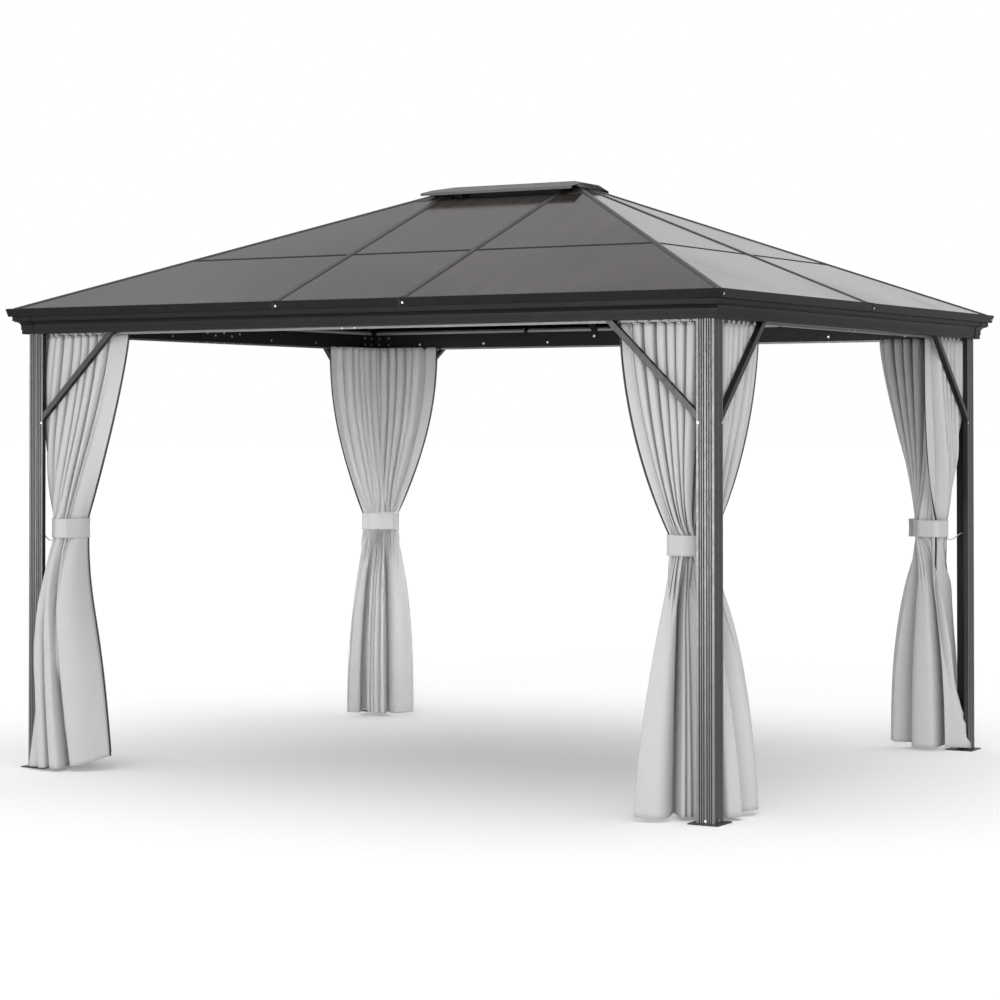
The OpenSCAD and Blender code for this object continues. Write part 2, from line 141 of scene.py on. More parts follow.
def ramp(tree, value, start, end, low=0.0, high=1.0):
    """Runs from low to high while the value runs from start to end."""
    return add_node(tree, "ShaderNodeMapRange", {"Value": value, "From Min": start, "From Max": end,
                                                 "To Min": low, "To Max": high}).outputs[0]


def noise(tree, place, scale, detail, roughness=0.5):
    """Soft noise between 0 and 1."""
    return add_node(tree, "ShaderNodeTexNoise", {"Vector": place, "Scale": scale, "Detail": detail,
                                                 "Roughness": roughness}).outputs["Fac"]


def mesh_piece(name, points, faces, material, smooth=True):
    """A mesh object at the origin, with its place in its mesh."""
    mesh = bpy.data.meshes.new(name)
    mesh.from_pydata([tuple(p) for p in points], [], faces)
    mesh.polygons.foreach_set("use_smooth", [smooth] * len(mesh.polygons))
    mesh.update()
    mesh.materials.append(material)
    piece = bpy.data.objects.new(name, mesh)
    bpy.context.collection.objects.link(piece)
    return piece


def studio_rays(tree):
    """1 for rays that see the studio, straight, in gloss or through glass, and 1 for the camera's own."""
    path = add_node(tree, "ShaderNodeLightPath").outputs
    seen = maths(tree, "MAXIMUM", path["Is Camera Ray"], path["Is Glossy Ray"])
    return maths(tree, "MAXIMUM", seen, path["Is Transmission Ray"]), path["Is Camera Ray"]


world = bpy.data.worlds.new("studio")
world.use_nodes = True
bpy.context.scene.world = world
sky = world.node_tree
sky.nodes.clear()
looked_at, in_camera = studio_rays(sky)
direction = add_node(sky, "ShaderNodeTexCoord").outputs["Generated"]
height = add_node(sky, "ShaderNodeSeparateXYZ", {0: direction}).outputs["Z"]
gloss = blend(sky, ramp(sky, height, 0.0, GLOSS_TOP), GLOSS_LOW, GLOSS_HIGH)
seen_sky = add_node(sky, "ShaderNodeBackground", {"Color": blend(sky, in_camera, gloss, PURE_WHITE)})
dome = add_node(sky, "ShaderNodeBackground", {"Color": PURE_WHITE, "Strength": DOME_LEVEL})
sky_mix = add_node(sky, "ShaderNodeMixShader", {0: looked_at, 1: dome.outputs[0], 2: seen_sky.outputs[0]})
add_node(sky, "ShaderNodeOutputWorld", {"Surface": sky_mix.outputs[0]})

floor_paint = bpy.data.materials.new("floor")
floor_paint.use_nodes = True
floor_tree = floor_paint.node_tree
floor_tree.nodes.clear()
floor_glow = maths(floor_tree, "MULTIPLY", studio_rays(floor_tree)[0], FLOOR_LIFT)
floor_base = add_node(floor_tree, "ShaderNodeBsdfDiffuse", {"Color": FLOOR_WHITE})
floor_lift = add_node(floor_tree, "ShaderNodeEmission", {"Strength": floor_glow})
floor_sum = add_node(floor_tree, "ShaderNodeAddShader", {0: floor_base.outputs[0], 1: floor_lift.outputs[0]})
add_node(floor_tree, "ShaderNodeOutputMaterial", {"Surface": floor_sum.outputs[0]})
floor_ends = ((-1, -1), (1, -1), (1, 1), (-1, 1))
floor = mesh_piece("floor", [(x * FLOOR_SIZE / 2, y * FLOOR_SIZE / 2, -FLOOR_DROP) for x, y in floor_ends],
                   [(0, 1, 2, 3)], floor_paint)

for sun_name, (sun_from, sun_level, sun_spread) in SUNS.items():
    sun_data = bpy.data.lights.new(sun_name, "SUN")
    sun_data.energy = sun_level
    sun_data.angle = math.radians(sun_spread)
    sun = bpy.data.objects.new(sun_name, sun_data)
    sun.rotation_euler = Vector(sun_from).to_track_quat("Z", "Y").to_euler()
    bpy.context.collection.objects.link(sun)
for lamp_name, (lamp_at, lamp_aim, lamp_size, lamp_spread, lamp_power) in LAMPS.items():
    lamp_data = bpy.data.lights.new(lamp_name, "AREA")
    lamp_data.shape = "RECTANGLE"
    lamp_data.size, lamp_data.size_y = lamp_size
    lamp_data.energy = lamp_power
    lamp_data.spread = math.radians(lamp_spread)
    lamp = bpy.data.objects.new(lamp_name, lamp_data)
    lamp.location = lamp_at
    lamp.visible_diffuse = "strip" not in lamp_name
    lamp.visible_glossy = lamp_name != "back_lamp"
    lamp.rotation_euler = (Vector(lamp_aim) - Vector(lamp_at)).to_track_quat("-Z", "Y").to_euler()
    bpy.context.collection.objects.link(lamp)


# Foot plates and posts: drawn aluminium angles with fluted faces, standing on square plates.
# All are powder coated dark grey, with a fine orange peel, handling marks and dust near the ground,
# and a bright screw through each face holds the post in its foot. The posts' outer faces carry a lighter
# grey as a painted highlight, and their flutes and inner sides a near-black painted shade.
CORNERS = {"front_right": (1, -1), "front_left": (-1, -1), "back_right": (1, 1), "back_left": (-1, 1)}
SIDES = ("front", "right", "back", "left")
FRAME_GREY = (0.011, 0.0108, 0.011, 1.0)
# Painted highlight: the posts' outer faces get a lighter grey than the frame's, though the paint is the
# same, for the light that their flutes catch
POST_LIT_GREY = (0.030, 0.0295, 0.030, 1.0)
# Painted shade: near-black paint in the posts' flutes and on their inner sides, though the real paint is the
# same there
FLUTE_PAINTED_SHADE = (0.004, 0.004, 0.004, 1.0)
FLUTE_DULL = 0.80
DUST_GREY = (0.30, 0.29, 0.28, 1.0)
DUST_SHARE = (0.40, 0.01)
PEEL_SCALE = 520.0
MARK_SCALE = 34.0
TONE_SCALE = 2.4
NOISE_SPAN = (0.3, 0.7)
TONE_SPAN = (0.86, 1.12)
COAT_ROUGH = (0.30, 0.42)
DUST_TOP = 0.35
EDGE_ROUND = 0.0012
POST_FACE = 0.077
POST_MIDDLE = 0.116
SCREW_Z = 0.014
SCREW_SIZES = ("Head radius", "Head height")
SCREW_HEAD = (0.0034, 0.0028)
WASHER_WIDE, WASHER_TALL = 1.45, 0.5
HEAD_TAPER = 0.72


def powder_group():
    """Colour, roughness and height of a powder coat, with dust that thins out up the post."""
    group = bpy.data.node_groups.new("powder_coat", "ShaderNodeTree")
    for label, way, kind in (("Paint", "INPUT", "Color"), ("Dust", "INPUT", "Float"),
                             ("Colour", "OUTPUT", "Color"), ("Roughness", "OUTPUT", "Float"),
                             ("Height", "OUTPUT", "Float")):
        group.interface.new_socket(label, in_out=way, socket_type="NodeSocket" + kind)
    given = group.nodes.new("NodeGroupInput").outputs
    place = add_node(group, "ShaderNodeTexCoord").outputs["Object"]
    marks = noise(group, place, MARK_SCALE, 6.0, 0.7)
    shade = ramp(group, noise(group, place, TONE_SCALE, 3.0), *NOISE_SPAN, *TONE_SPAN)
    toned = add_node(group, "ShaderNodeVectorMath", {0: given["Paint"], "Scale": shade}, operation="SCALE")
    up = add_node(group, "ShaderNodeSeparateXYZ", {0: place}).outputs["Z"]
    scatter = maths(group, "MULTIPLY", ramp(group, up, 0.0, DUST_TOP, *DUST_SHARE), marks)
    dusty = maths(group, "MULTIPLY", scatter, given["Dust"])
    feed(group, group.nodes.new("NodeGroupOutput"), {
        "Colour": blend(group, dusty, toned.outputs[0], DUST_GREY),
        "Roughness": ramp(group, marks, *NOISE_SPAN, *COAT_ROUGH),
        "Height": noise(group, place, PEEL_SCALE, 2.0)})
    return group


powder_coat = powder_group()


def flute_shade_mask(tree):
    """0 on the posts' outer faces and 1 behind them, in the flutes and on the plain inner sides (painted
    shade).
    """
    place = add_node(tree, "ShaderNodeTexCoord").outputs["Object"]
    folded = add_node(tree, "ShaderNodeVectorMath", {0: place}, operation="ABSOLUTE")
    apart = add_node(tree, "ShaderNodeSeparateXYZ", {0: folded.outputs[0]}).outputs
    inward = [maths(tree, "SUBTRACT", half, apart[axis]) for half, axis in ((half_l, "X"), (half_w, "Y"))]
    return ramp(tree, maths(tree, "MINIMUM", *inward), POST_FACE + 0.0001, POST_FACE + 0.0005)


def painted_metal(name, grey, dust, gloss_level, flute_roughness=None):
    """A powder-coated finish in that grey, with softly rounded edges; duller and with painted shade in a
    post's flutes and inner sides.
    """
    material, tree, shader = start_material(name)
    coat = add_node(tree, "ShaderNodeGroup", {"Paint": grey, "Dust": dust}, node_tree=powder_coat).outputs
    rounded = add_node(tree, "ShaderNodeBevel", {"Radius": EDGE_ROUND}, samples=4)
    bump = add_node(tree, "ShaderNodeBump", {"Strength": 0.12, "Distance": 0.0004, "Height": coat["Height"],
                                             "Normal": rounded.outputs[0]})
    colour, roughness = coat["Colour"], coat["Roughness"]
    if flute_roughness:
        in_flute_shade = flute_shade_mask(tree)
        dulled = add_node(tree, "ShaderNodeMix", {"Factor": in_flute_shade, 2: roughness, 3: flute_roughness})
        roughness = dulled.outputs[0]
        # Painted shade: the colour drops to near-black in the flutes and on the inner sides
        colour = blend(tree, in_flute_shade, colour, FLUTE_PAINTED_SHADE)
    feed(tree, shader, {"Base Color": colour, "Roughness": roughness, "Normal": bump.outputs[0],
                        "Specular IOR Level": gloss_level})
    return material


def bright_metal(name, grey, roughness):
    """Bare or zinc-plated metal with a faint grain and dull spots."""
    material, tree, shader = start_material(name)
    dull = noise(tree, add_node(tree, "ShaderNodeTexCoord").outputs["Object"], 90.0, 4.0)
    bright, darker = ((level, level, level, 1.0) for level in (grey, 0.7 * grey))
    feed(tree, shader, {"Base Color": blend(tree, dull, bright, darker), "Metallic": 0.85,
                        "Roughness": ramp(tree, dull, 0.0, 1.0, roughness, roughness + 0.2)})
    return material


def dress(names, material):
    """Gives CAD nodes that material."""
    for name in names:
        data = nodes[name].data
        data.materials.clear()
        data.materials.append(material)


def corner_point(corner, u, v, z):
    """A point inward from a corner's eave tip, along X by u and along Y by v."""
    sx, sy = CORNERS[corner]
    return (sx * (half_l - u), sy * (half_w - v), z)


def corner_way(corner, u, v, z=0.0):
    """A direction in a corner's own frame."""
    sx, sy = CORNERS[corner]
    return (-sx * u, -sy * v, z)


def new_shape_tree(name, sizes):
    """An empty node tree for a shape that repeats, with its sizes as named inputs."""
    tree = bpy.data.node_groups.new(name, "GeometryNodeTree")
    tree.interface.new_socket("Geometry", in_out="INPUT", socket_type="NodeSocketGeometry")
    for size in sizes:
        tree.interface.new_socket(size, in_out="INPUT", socket_type="NodeSocketFloat")
    tree.interface.new_socket("Finish", in_out="INPUT", socket_type="NodeSocketMaterial")
    tree.interface.new_socket("Geometry", in_out="OUTPUT", socket_type="NodeSocketGeometry")
    return tree, tree.nodes.new("NodeGroupInput")


def end_shape_tree(tree, given, shape):
    """Sets the shape on each point, turned to the point's facing, and gives it its finish."""
    facing = add_node(tree, "GeometryNodeInputNamedAttribute", {"Name": "facing"}, data_type="FLOAT_VECTOR")
    turned = add_node(tree, "FunctionNodeAlignRotationToVector", {"Vector": facing.outputs["Attribute"]},
                      axis="Z")
    placed = add_node(tree, "GeometryNodeInstanceOnPoints",
                      {"Points": given.outputs["Geometry"], "Instance": shape,
                       "Rotation": turned.outputs[0]})
    real = add_node(tree, "GeometryNodeRealizeInstances", {"Geometry": placed.outputs[0]})
    finish = add_node(tree, "GeometryNodeSetMaterial",
                      {"Geometry": real.outputs[0], "Material": given.outputs["Finish"]})
    result = tree.nodes.new("NodeGroupOutput")
    tree.links.new(finish.outputs[0], result.inputs["Geometry"])
    return tree


def screw_tree():
    """A pan-head screw on its washer."""
    tree, given = new_shape_tree("screw", SCREW_SIZES)
    radius, tall = (given.outputs[size] for size in SCREW_SIZES)
    washer = add_node(tree, "GeometryNodeMeshCylinder",
                      {"Vertices": 16, "Radius": maths(tree, "MULTIPLY", radius, WASHER_WIDE),
                       "Depth": maths(tree, "MULTIPLY", tall, WASHER_TALL)})
    head = add_node(tree, "GeometryNodeMeshCone",
                    {"Vertices": 12, "Radius Bottom": radius,
                     "Radius Top": maths(tree, "MULTIPLY", radius, HEAD_TAPER), "Depth": tall})
    both = tree.nodes.new("GeometryNodeJoinGeometry")
    for part in (washer, head):
        tree.links.new(part.outputs["Mesh"], both.inputs[0])
    return end_shape_tree(tree, given, both.outputs[0])


def set_out(name, tree, spots, ways, sizes, material):
    """Puts a repeated shape on each spot, as one plain mesh that rides on the gazebo."""
    mesh = bpy.data.meshes.new(name)
    mesh.from_pydata([tuple(s) for s in spots], [], [])
    facing = mesh.attributes.new("facing", "FLOAT_VECTOR", "POINT")
    facing.data.foreach_set("vector", np.asarray(ways, np.float32).ravel())
    piece = bpy.data.objects.new(name, mesh)
    bpy.context.collection.objects.link(piece)
    maker = piece.modifiers.new("set_out", "NODES")
    maker.node_group = tree
    for socket in tree.interface.items_tree:
        if socket.in_out == "INPUT" and socket.name in sizes:
            maker[socket.identifier] = sizes[socket.name]
        elif socket.in_out == "INPUT" and socket.name == "Finish":
            maker[socket.identifier] = material
    made = bpy.data.meshes.new_from_object(piece.evaluated_get(bpy.context.evaluated_depsgraph_get()))
    piece.modifiers.clear()
    piece.data = made
    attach(piece, "root")
    return piece


screws = screw_tree()
frame_paint = painted_metal("frame_paint", FRAME_GREY, 1.0, 0.05)
brace_paint = painted_metal("brace_paint", FRAME_GREY, 1.0, 0.20)
post_paint = painted_metal("post_paint", POST_LIT_GREY, 1.0, 0.55, FLUTE_DULL)
bolt_metal = bright_metal("bolt_metal", 0.55, 0.38)


def set_screws(name, spots, ways, head):
    """Bright screws with a head of that radius and height."""
    set_out(name, screws, spots, ways, dict(zip(SCREW_SIZES, head)), bolt_metal)


def set_post_screws(name, inward, z):
    """A screw at that height on both outer faces of every post."""
    spots, ways = [], []
    for corner in CORNERS:
        spots += [corner_point(corner, inward, POST_FACE, z), corner_point(corner, POST_FACE, inward, z)]
        ways += [corner_way(corner, 0, -1), corner_way(corner, -1, 0)]
    set_screws(name, spots, ways, SCREW_HEAD)


dress(["post_" + c for c in CORNERS], post_paint)
dress(["foot_plate_" + c for c in CORNERS], frame_paint)
set_post_screws("post_screws", POST_MIDDLE, SCREW_Z)


# Beams and corner covers: drawn aluminium cornices in two lengths a side, mitred at the corners under
# folded covers. Inside, a plate joins the lengths, angles join the corners, screws run along the face,
# and a pale edge strip caps the top.
BEAM_INSIDE = 0.118
SPLICE_HALF = 0.19
SPLICE_LOW, SPLICE_HIGH = 1.974, 2.022
ANGLE_LEG = 0.130
ANGLE_LOW, ANGLE_HIGH = 1.964, 2.034
PLATE_THICK = 0.003
PLATE_EDGE = 0.001
ANGLE_GAP = 0.0005
FACE_SCREW_Z = 1.980
FACE_SCREWS = {True: (-1.39, -0.99, -0.60, 0.60, 0.99, 1.39), False: (-0.81, -0.41, 0.41, 0.81)}
SPLICE_SCREW_Z = (2.004, 1.992)
SPLICE_SCREWS = (-0.134, -0.068, 0.0, 0.068, 0.134)
ANGLE_SCREWS = ((0.035, 1.982), (0.035, 2.016), (0.095, 1.982), (0.095, 2.016))
BEAM_SCREW_HEAD = (0.0038, 0.0030)
STRIP_JOINTS = {True: (-0.73, 0.73), False: (0.0,)}
STRIP_STOP = {True: 0.004, False: 0.020}
STRIP_GAP = 0.012
EDGE_SECTION = ((0.1180, 2.0440), (0.1040, 2.0520), (0.1060, 2.0540), (0.1212, 2.0452), (0.1212, 2.0345),
                (0.1180, 2.0345))
EDGE_GREY = (0.30, 0.285, 0.28, 1.0)


def side_point(side, x, inward, z):
    """A point along one side, inward from its eave."""
    index = SIDES.index(side)
    depth = half_w if index % 2 == 0 else half_l
    a, b = x, inward - depth
    for _ in range(index):
        a, b = -b, a
    return (a, b, z)


def side_way(side, x, inward, z=0.0):
    """A direction in one side's own frame."""
    a, b = x, inward
    for _ in range(SIDES.index(side)):
        a, b = -b, a
    return (a, b, z)


def is_long(side):
    """True for the two long sides."""
    return side in ("front", "back")


def half_side(side):
    """Half the length of one side over the eaves."""
    return half_l if is_long(side) else half_w


def drawn_lengths(name, section, lengths, material, bevel=0.0):
    """Straight lengths of one section, drawn clockwise as (inward, height), along the sides."""
    points, faces = [], []
    count = len(section)
    for side, x0, x1 in lengths:
        first = len(points)
        for x in (x0, x1):
            points += [side_point(side, x, inward, z) for inward, z in section]
        for i in range(count):
            j = (i + 1) % count
            faces.append((first + i, first + count + i, first + count + j, first + j))
        faces.append(tuple(first + i for i in range(count)))
        faces.append(tuple(first + count + i for i in reversed(range(count))))
    piece = mesh_piece(name, points, faces, material, smooth=False)
    if bevel:
        soft = piece.modifiers.new("edges", "BEVEL")
        soft.width = bevel
        soft.segments = 2
        soft.limit_method = "ANGLE"
    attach(piece, "root")
    return piece


def plate_section(inward, thick, low, high):
    """Section of a flat plate that lies on an upright face."""
    return ((inward, high), (inward + thick, high), (inward + thick, low), (inward, low))


edge_paint = painted_metal("edge_paint", EDGE_GREY, 0.0, 0.4)
dress(["beam_" + s for s in SIDES], frame_paint)
dress(["corner_cover_" + c for c in CORNERS], frame_paint)
splices = drawn_lengths("beam_splices", plate_section(BEAM_INSIDE, PLATE_THICK, SPLICE_LOW, SPLICE_HIGH),
                        [(s, -SPLICE_HALF, SPLICE_HALF) for s in SIDES], frame_paint, PLATE_EDGE)
angle_runs = []
for side in SIDES:
    end = half_side(side) - BEAM_INSIDE
    skip = 0.0 if is_long(side) else PLATE_THICK + ANGLE_GAP
    angle_runs += [(side, end - ANGLE_LEG, end - skip), (side, skip - end, ANGLE_LEG - end)]
angles = drawn_lengths("corner_angles", plate_section(BEAM_INSIDE, PLATE_THICK, ANGLE_LOW, ANGLE_HIGH),
                       angle_runs, frame_paint, PLATE_EDGE)
edge_runs = []
for side in SIDES:
    end = half_side(side) - BEAM_INSIDE - STRIP_STOP[is_long(side)]
    stops = (-end,) + STRIP_JOINTS[is_long(side)] + (end,)
    edge_runs += [(side, a + STRIP_GAP, b - STRIP_GAP) for a, b in zip(stops, stops[1:])]
edges = drawn_lengths("beam_edge_strips", EDGE_SECTION, edge_runs, edge_paint)
inner_spots, inner_ways = [], []
for side in SIDES:
    end = half_side(side) - BEAM_INSIDE
    spots = [(x, FACE_SCREW_Z, 0.0) for x in FACE_SCREWS[is_long(side)]]
    spots += [(x, SPLICE_SCREW_Z[k % 2], PLATE_THICK) for k, x in enumerate(SPLICE_SCREWS)]
    spots += [(s * (end - far), z, PLATE_THICK) for s in (-1, 1) for far, z in ANGLE_SCREWS]
    inner_spots += [side_point(side, x, BEAM_INSIDE + proud, z) for x, z, proud in spots]
    inner_ways += [side_way(side, 0, 1)] * len(spots)
set_screws("beam_screws", inner_spots, inner_ways, BEAM_SCREW_HEAD)


# Eave trim: a drawn channel in the frame's dark coat that grips the lower edge of the panels, in lengths
# that meet at the rafters. A black gasket closes each joint, with one bright screw beside it, and another
# screw stands at each corner.
TRIM_TIP_Z = 2.072
TRIM_LOW_Z = 2.037
TRIM_RAKE = 0.009
GASKET_HALF = 0.0045
TRIM_SCREW_Z = 2.051
TRIM_SCREW_BESIDE = 0.014
TRIM_SCREW_END = 0.018
TRIM_SCREW_HEAD = (0.0036, 0.0032)
RAFTERS = {"front": (-0.32, 0.32), "right": (0.0,), "back": (-0.32, 0.32), "left": (0.0,)}
GASKET_BLACK = (0.006, 0.006, 0.006, 1.0)


def rubber(name, black):
    """Black moulded rubber with a fine grain."""
    material, tree, shader = start_material(name)
    place = add_node(tree, "ShaderNodeTexCoord").outputs["Object"]
    bloomed = tuple(2.2 * c for c in black[:3]) + (1.0,)
    grain = noise(tree, place, 900.0, 2.0)
    bump = add_node(tree, "ShaderNodeBump", {"Strength": 0.2, "Distance": 0.0003, "Height": grain})
    feed(tree, shader, {"Base Color": blend(tree, noise(tree, place, 40.0, 3.0), black, bloomed),
                        "Roughness": 0.7, "Specular IOR Level": 0.25, "Normal": bump.outputs[0]})
    return material


dress(["eave_trim_" + s for s in SIDES], frame_paint)
gasket_rubber = rubber("gasket_rubber", GASKET_BLACK)
gasket_section = ((0.0250, 2.0765), (0.0250, 2.0720), (0.0010, TRIM_TIP_Z - 0.0010),
                  (TRIM_RAKE + 0.0010, TRIM_LOW_Z + 0.0008), (TRIM_RAKE + 0.012, TRIM_LOW_Z - 0.0012),
                  (TRIM_RAKE - 0.0014, TRIM_LOW_Z - 0.0012), (-0.0014, TRIM_TIP_Z + 0.0012))
gasket_runs, trim_spots, trim_ways = [], [], []
rake = math.hypot(TRIM_RAKE, TRIM_TIP_Z - TRIM_LOW_Z)
trim_out = (-(TRIM_TIP_Z - TRIM_LOW_Z) / rake, -TRIM_RAKE / rake)
screw_in = TRIM_RAKE * (TRIM_TIP_Z - TRIM_SCREW_Z) / (TRIM_TIP_Z - TRIM_LOW_Z)
for side in SIDES:
    gasket_runs += [(side, x - GASKET_HALF, x + GASKET_HALF) for x in RAFTERS[side]]
    end = half_side(side) - TRIM_SCREW_END
    tips = [] if is_long(side) else [end, -end]
    for x in [x + TRIM_SCREW_BESIDE for x in RAFTERS[side]] + tips:
        trim_spots.append(side_point(side, x, screw_in, TRIM_SCREW_Z))
        trim_ways.append(side_way(side, 0, trim_out[0], trim_out[1]))
gaskets = drawn_lengths("trim_gaskets", gasket_section, gasket_runs, gasket_rubber)
set_screws("trim_screws", trim_spots, trim_ways, TRIM_SCREW_HEAD)


# Braces: short square tubes in the frame's dark coat between post and beam, cut at 44 degrees and screwed
# to both. One bright screw shows on the post just below each brace.
BRACE_FOOT_Z = 1.556
BRACE_SCREW = 0.147
dress(["braces_" + c for c in CORNERS], brace_paint)
set_post_screws("brace_screws", BRACE_SCREW, BRACE_FOOT_Z)


# Rafters, hips and ridge: drawn aluminium tubes with a cover strip over each panel joint, and a ridge tube
# with folded hubs. A folded shoe carries each rafter's foot on the beam's inner face.
STRIP_GREY = (0.030, 0.0295, 0.030, 1.0)
SHOE_HALF = 0.019
SHOE_THICK = 0.004
SHOE_DEEP = 0.034
SHOE_EDGE = 0.0012
SHOE_SCREW_Z = 2.008
SHOE_SCREW_HEAD = (0.0042, 0.0034)
SHOE_SECTION = ((BEAM_INSIDE, 2.0425), (BEAM_INSIDE + SHOE_DEEP, 2.0705), (BEAM_INSIDE + SHOE_DEEP, 2.066),
                (BEAM_INSIDE + SHOE_THICK, 2.040), (BEAM_INSIDE + SHOE_THICK, 1.992), (BEAM_INSIDE, 1.992))
strip_paint = painted_metal("strip_paint", STRIP_GREY, 0.3, 0.5)
dress(["hip_rafter_" + c for c in CORNERS], strip_paint)
dress(["rafters_front", "rafter_right", "rafters_back", "rafter_left"], strip_paint)
dress(["ridge_beam"], frame_paint)
shoe_places = [(s, x) for s in SIDES for x in RAFTERS[s]]
shoe_runs = [(s, x - SHOE_HALF, x + SHOE_HALF) for s, x in shoe_places]
shoes = drawn_lengths("rafter_shoes", SHOE_SECTION, shoe_runs, frame_paint, SHOE_EDGE)
set_screws("shoe_screws", [side_point(s, x, BEAM_INSIDE + SHOE_THICK, SHOE_SCREW_Z) for s, x in shoe_places],
           [side_way(s, 0, 1) for s, x in shoe_places], SHOE_SCREW_HEAD)


# Ridge cap: one coated metal sheet, folded to a low hip over the ridge in the cover strips' own dark grey.
# It is held clear of the panels, so that it leaves a vent all round.
dress(["ridge_cap"], strip_paint)


# Roof panels: twin-wall polycarbonate, tinted brown, with flutes down the slope, in two rows.
# They show little of their own colour and mostly the white sky in their gloss, and a thin black strip
# joins the two rows.
TINT = (0.022, 0.018, 0.016, 1.0)
TINT_LIGHT = (0.060, 0.053, 0.049, 1.0)
ROOF_SLOPE = 0.403
PANEL_TOP_Z = 2.062
JOINT_RUN = 0.595
JOINT_HALF = 0.0065
JOINT_FOOT, JOINT_PROUD = 0.0002, 0.0014
JOINT_END = 0.024
RAFTER_HALF = 0.0145
STREAK_ACROSS, STREAK_ALONG = 60.0, 4.0
STREAK_SPAN = (0.14, 0.38)
SHEET_ROUGH = (0.05, 0.20)
END_SLOPE = 0.2


def tinted_sheet():
    """Brown tinted polycarbonate with streaks that run down the slope, and a few soft flexed marks."""
    material, tree, shader = start_material("tinted_sheet")
    place = add_node(tree, "ShaderNodeTexCoord").outputs["Object"]
    normal = add_node(tree, "ShaderNodeNewGeometry").outputs["Normal"]
    facing = add_node(tree, "ShaderNodeSeparateXYZ", {0: normal}).outputs
    spot = add_node(tree, "ShaderNodeSeparateXYZ", {0: place}).outputs
    is_end = maths(tree, "GREATER_THAN", maths(tree, "ABSOLUTE", facing["X"]), END_SLOPE)
    across = add_node(tree, "ShaderNodeMix", {"Factor": is_end, 2: spot["X"], 3: spot["Y"]}).outputs[0]
    lie = add_node(tree, "ShaderNodeCombineXYZ", {"X": maths(tree, "MULTIPLY", across, STREAK_ACROSS),
                                                  "Y": maths(tree, "MULTIPLY", spot["Z"], STREAK_ALONG),
                                                  "Z": is_end})
    streak = noise(tree, lie.outputs[0], 1.0, 5.0, 0.6)
    both = maths(tree, "MULTIPLY", streak, noise(tree, place, 1.3, 2.0))
    bump = add_node(tree, "ShaderNodeBump", {"Strength": 0.08, "Distance": 0.001, "Height": streak})
    feed(tree, shader, {"Base Color": blend(tree, ramp(tree, both, *STREAK_SPAN), TINT, TINT_LIGHT),
                        "Roughness": ramp(tree, both, *STREAK_SPAN, *SHEET_ROUGH),
                        "Normal": bump.outputs[0]})
    return material


def on_slope(run, proud):
    """Height of a point that stands proud of the panels at that run from the eave."""
    return PANEL_TOP_Z + ROOF_SLOPE * run + proud


dress(["roof_panels_" + s for s in SIDES], tinted_sheet())
joint_section = tuple((run, on_slope(run, proud)) for run, proud in (
    (JOINT_RUN - JOINT_HALF, JOINT_FOOT), (JOINT_RUN - JOINT_HALF, JOINT_PROUD),
    (JOINT_RUN + JOINT_HALF, JOINT_PROUD), (JOINT_RUN + JOINT_HALF, JOINT_FOOT)))
joint_runs = []
for side in SIDES:
    reach = half_side(side) - JOINT_RUN - JOINT_END
    stops = [-reach]
    for x in RAFTERS[side]:
        stops += [x - RAFTER_HALF, x + RAFTER_HALF]
    stops.append(reach)
    joint_runs += [(side, a, b) for a, b in zip(stops[::2], stops[1::2])]
joints = drawn_lengths("panel_joint_strips", joint_section, joint_runs, gasket_rubber)


# Vent flashings: a small plate of the cap's own sheet in each corner of the vent, where the cap's ends
# stop short of it, lapped on the heads of the long slopes' panels and tucked against the hip rafters.
FLASHING_OUTLINE = ((0.455, 0.156), (0.372, 0.156), (0.372, 0.073))
FLASHING_LIFT = 0.0006
FLASHING_THICK = 0.0012

flashing_points, flashing_faces = [], []
for sx, sy in CORNERS.values():
    first = len(flashing_points)
    for proud in (FLASHING_LIFT, FLASHING_LIFT + FLASHING_THICK):
        flashing_points += [(sx * x, sy * y, on_slope(half_w - y, proud)) for x, y in FLASHING_OUTLINE]
    for face in ((2, 1, 0), (3, 4, 5), (0, 1, 4, 3), (1, 2, 5, 4), (2, 0, 3, 5)):
        flashing_faces.append([first + k for k in (face if sx * sy > 0 else face[::-1])])
flashings = mesh_piece("vent_flashings", flashing_points, flashing_faces, strip_paint, smooth=False)
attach(flashings, "root")


# Curtain rails: drawn aluminium channels with a thin grey coat, screwed up under the beams in two lengths
# a side. Clips show at the joint in the middle, and spare gliders are parked on the short sides.
RAIL_OUT, RAIL_INSIDE = 0.104, 0.120
RAIL_GREY = (0.10, 0.098, 0.098, 1.0)
CLIP_OUT = 0.032
CLIP_HEAD = (0.0028, 0.0026)
PARKED_MIDDLE, PARKED_PITCH = 0.033, 0.072
rail_low, rail_high = (corner.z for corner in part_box("curtain_rails"))
rail_mid = (rail_low + rail_high) / 2
dress(["curtain_rails"], painted_metal("rail_paint", RAIL_GREY, 0.0, 0.5))
clip_spots, clip_ways = [], []
for side in SIDES:
    clips = [(x, RAIL_OUT, -1) for x in (-CLIP_OUT, CLIP_OUT)]
    if is_long(side):
        clips += [(x, RAIL_INSIDE, 1) for x in (-CLIP_OUT, CLIP_OUT)]
    else:
        clips += [(PARKED_MIDDLE + PARKED_PITCH * (k - 2.5), RAIL_INSIDE, 1) for k in range(6)]
    clip_spots += [side_point(side, x, inward, rail_mid) for x, inward, way in clips]
    clip_ways += [side_way(side, 0, way) for x, inward, way in clips]
set_screws("rail_clips", clip_spots, clip_ways, CLIP_HEAD)


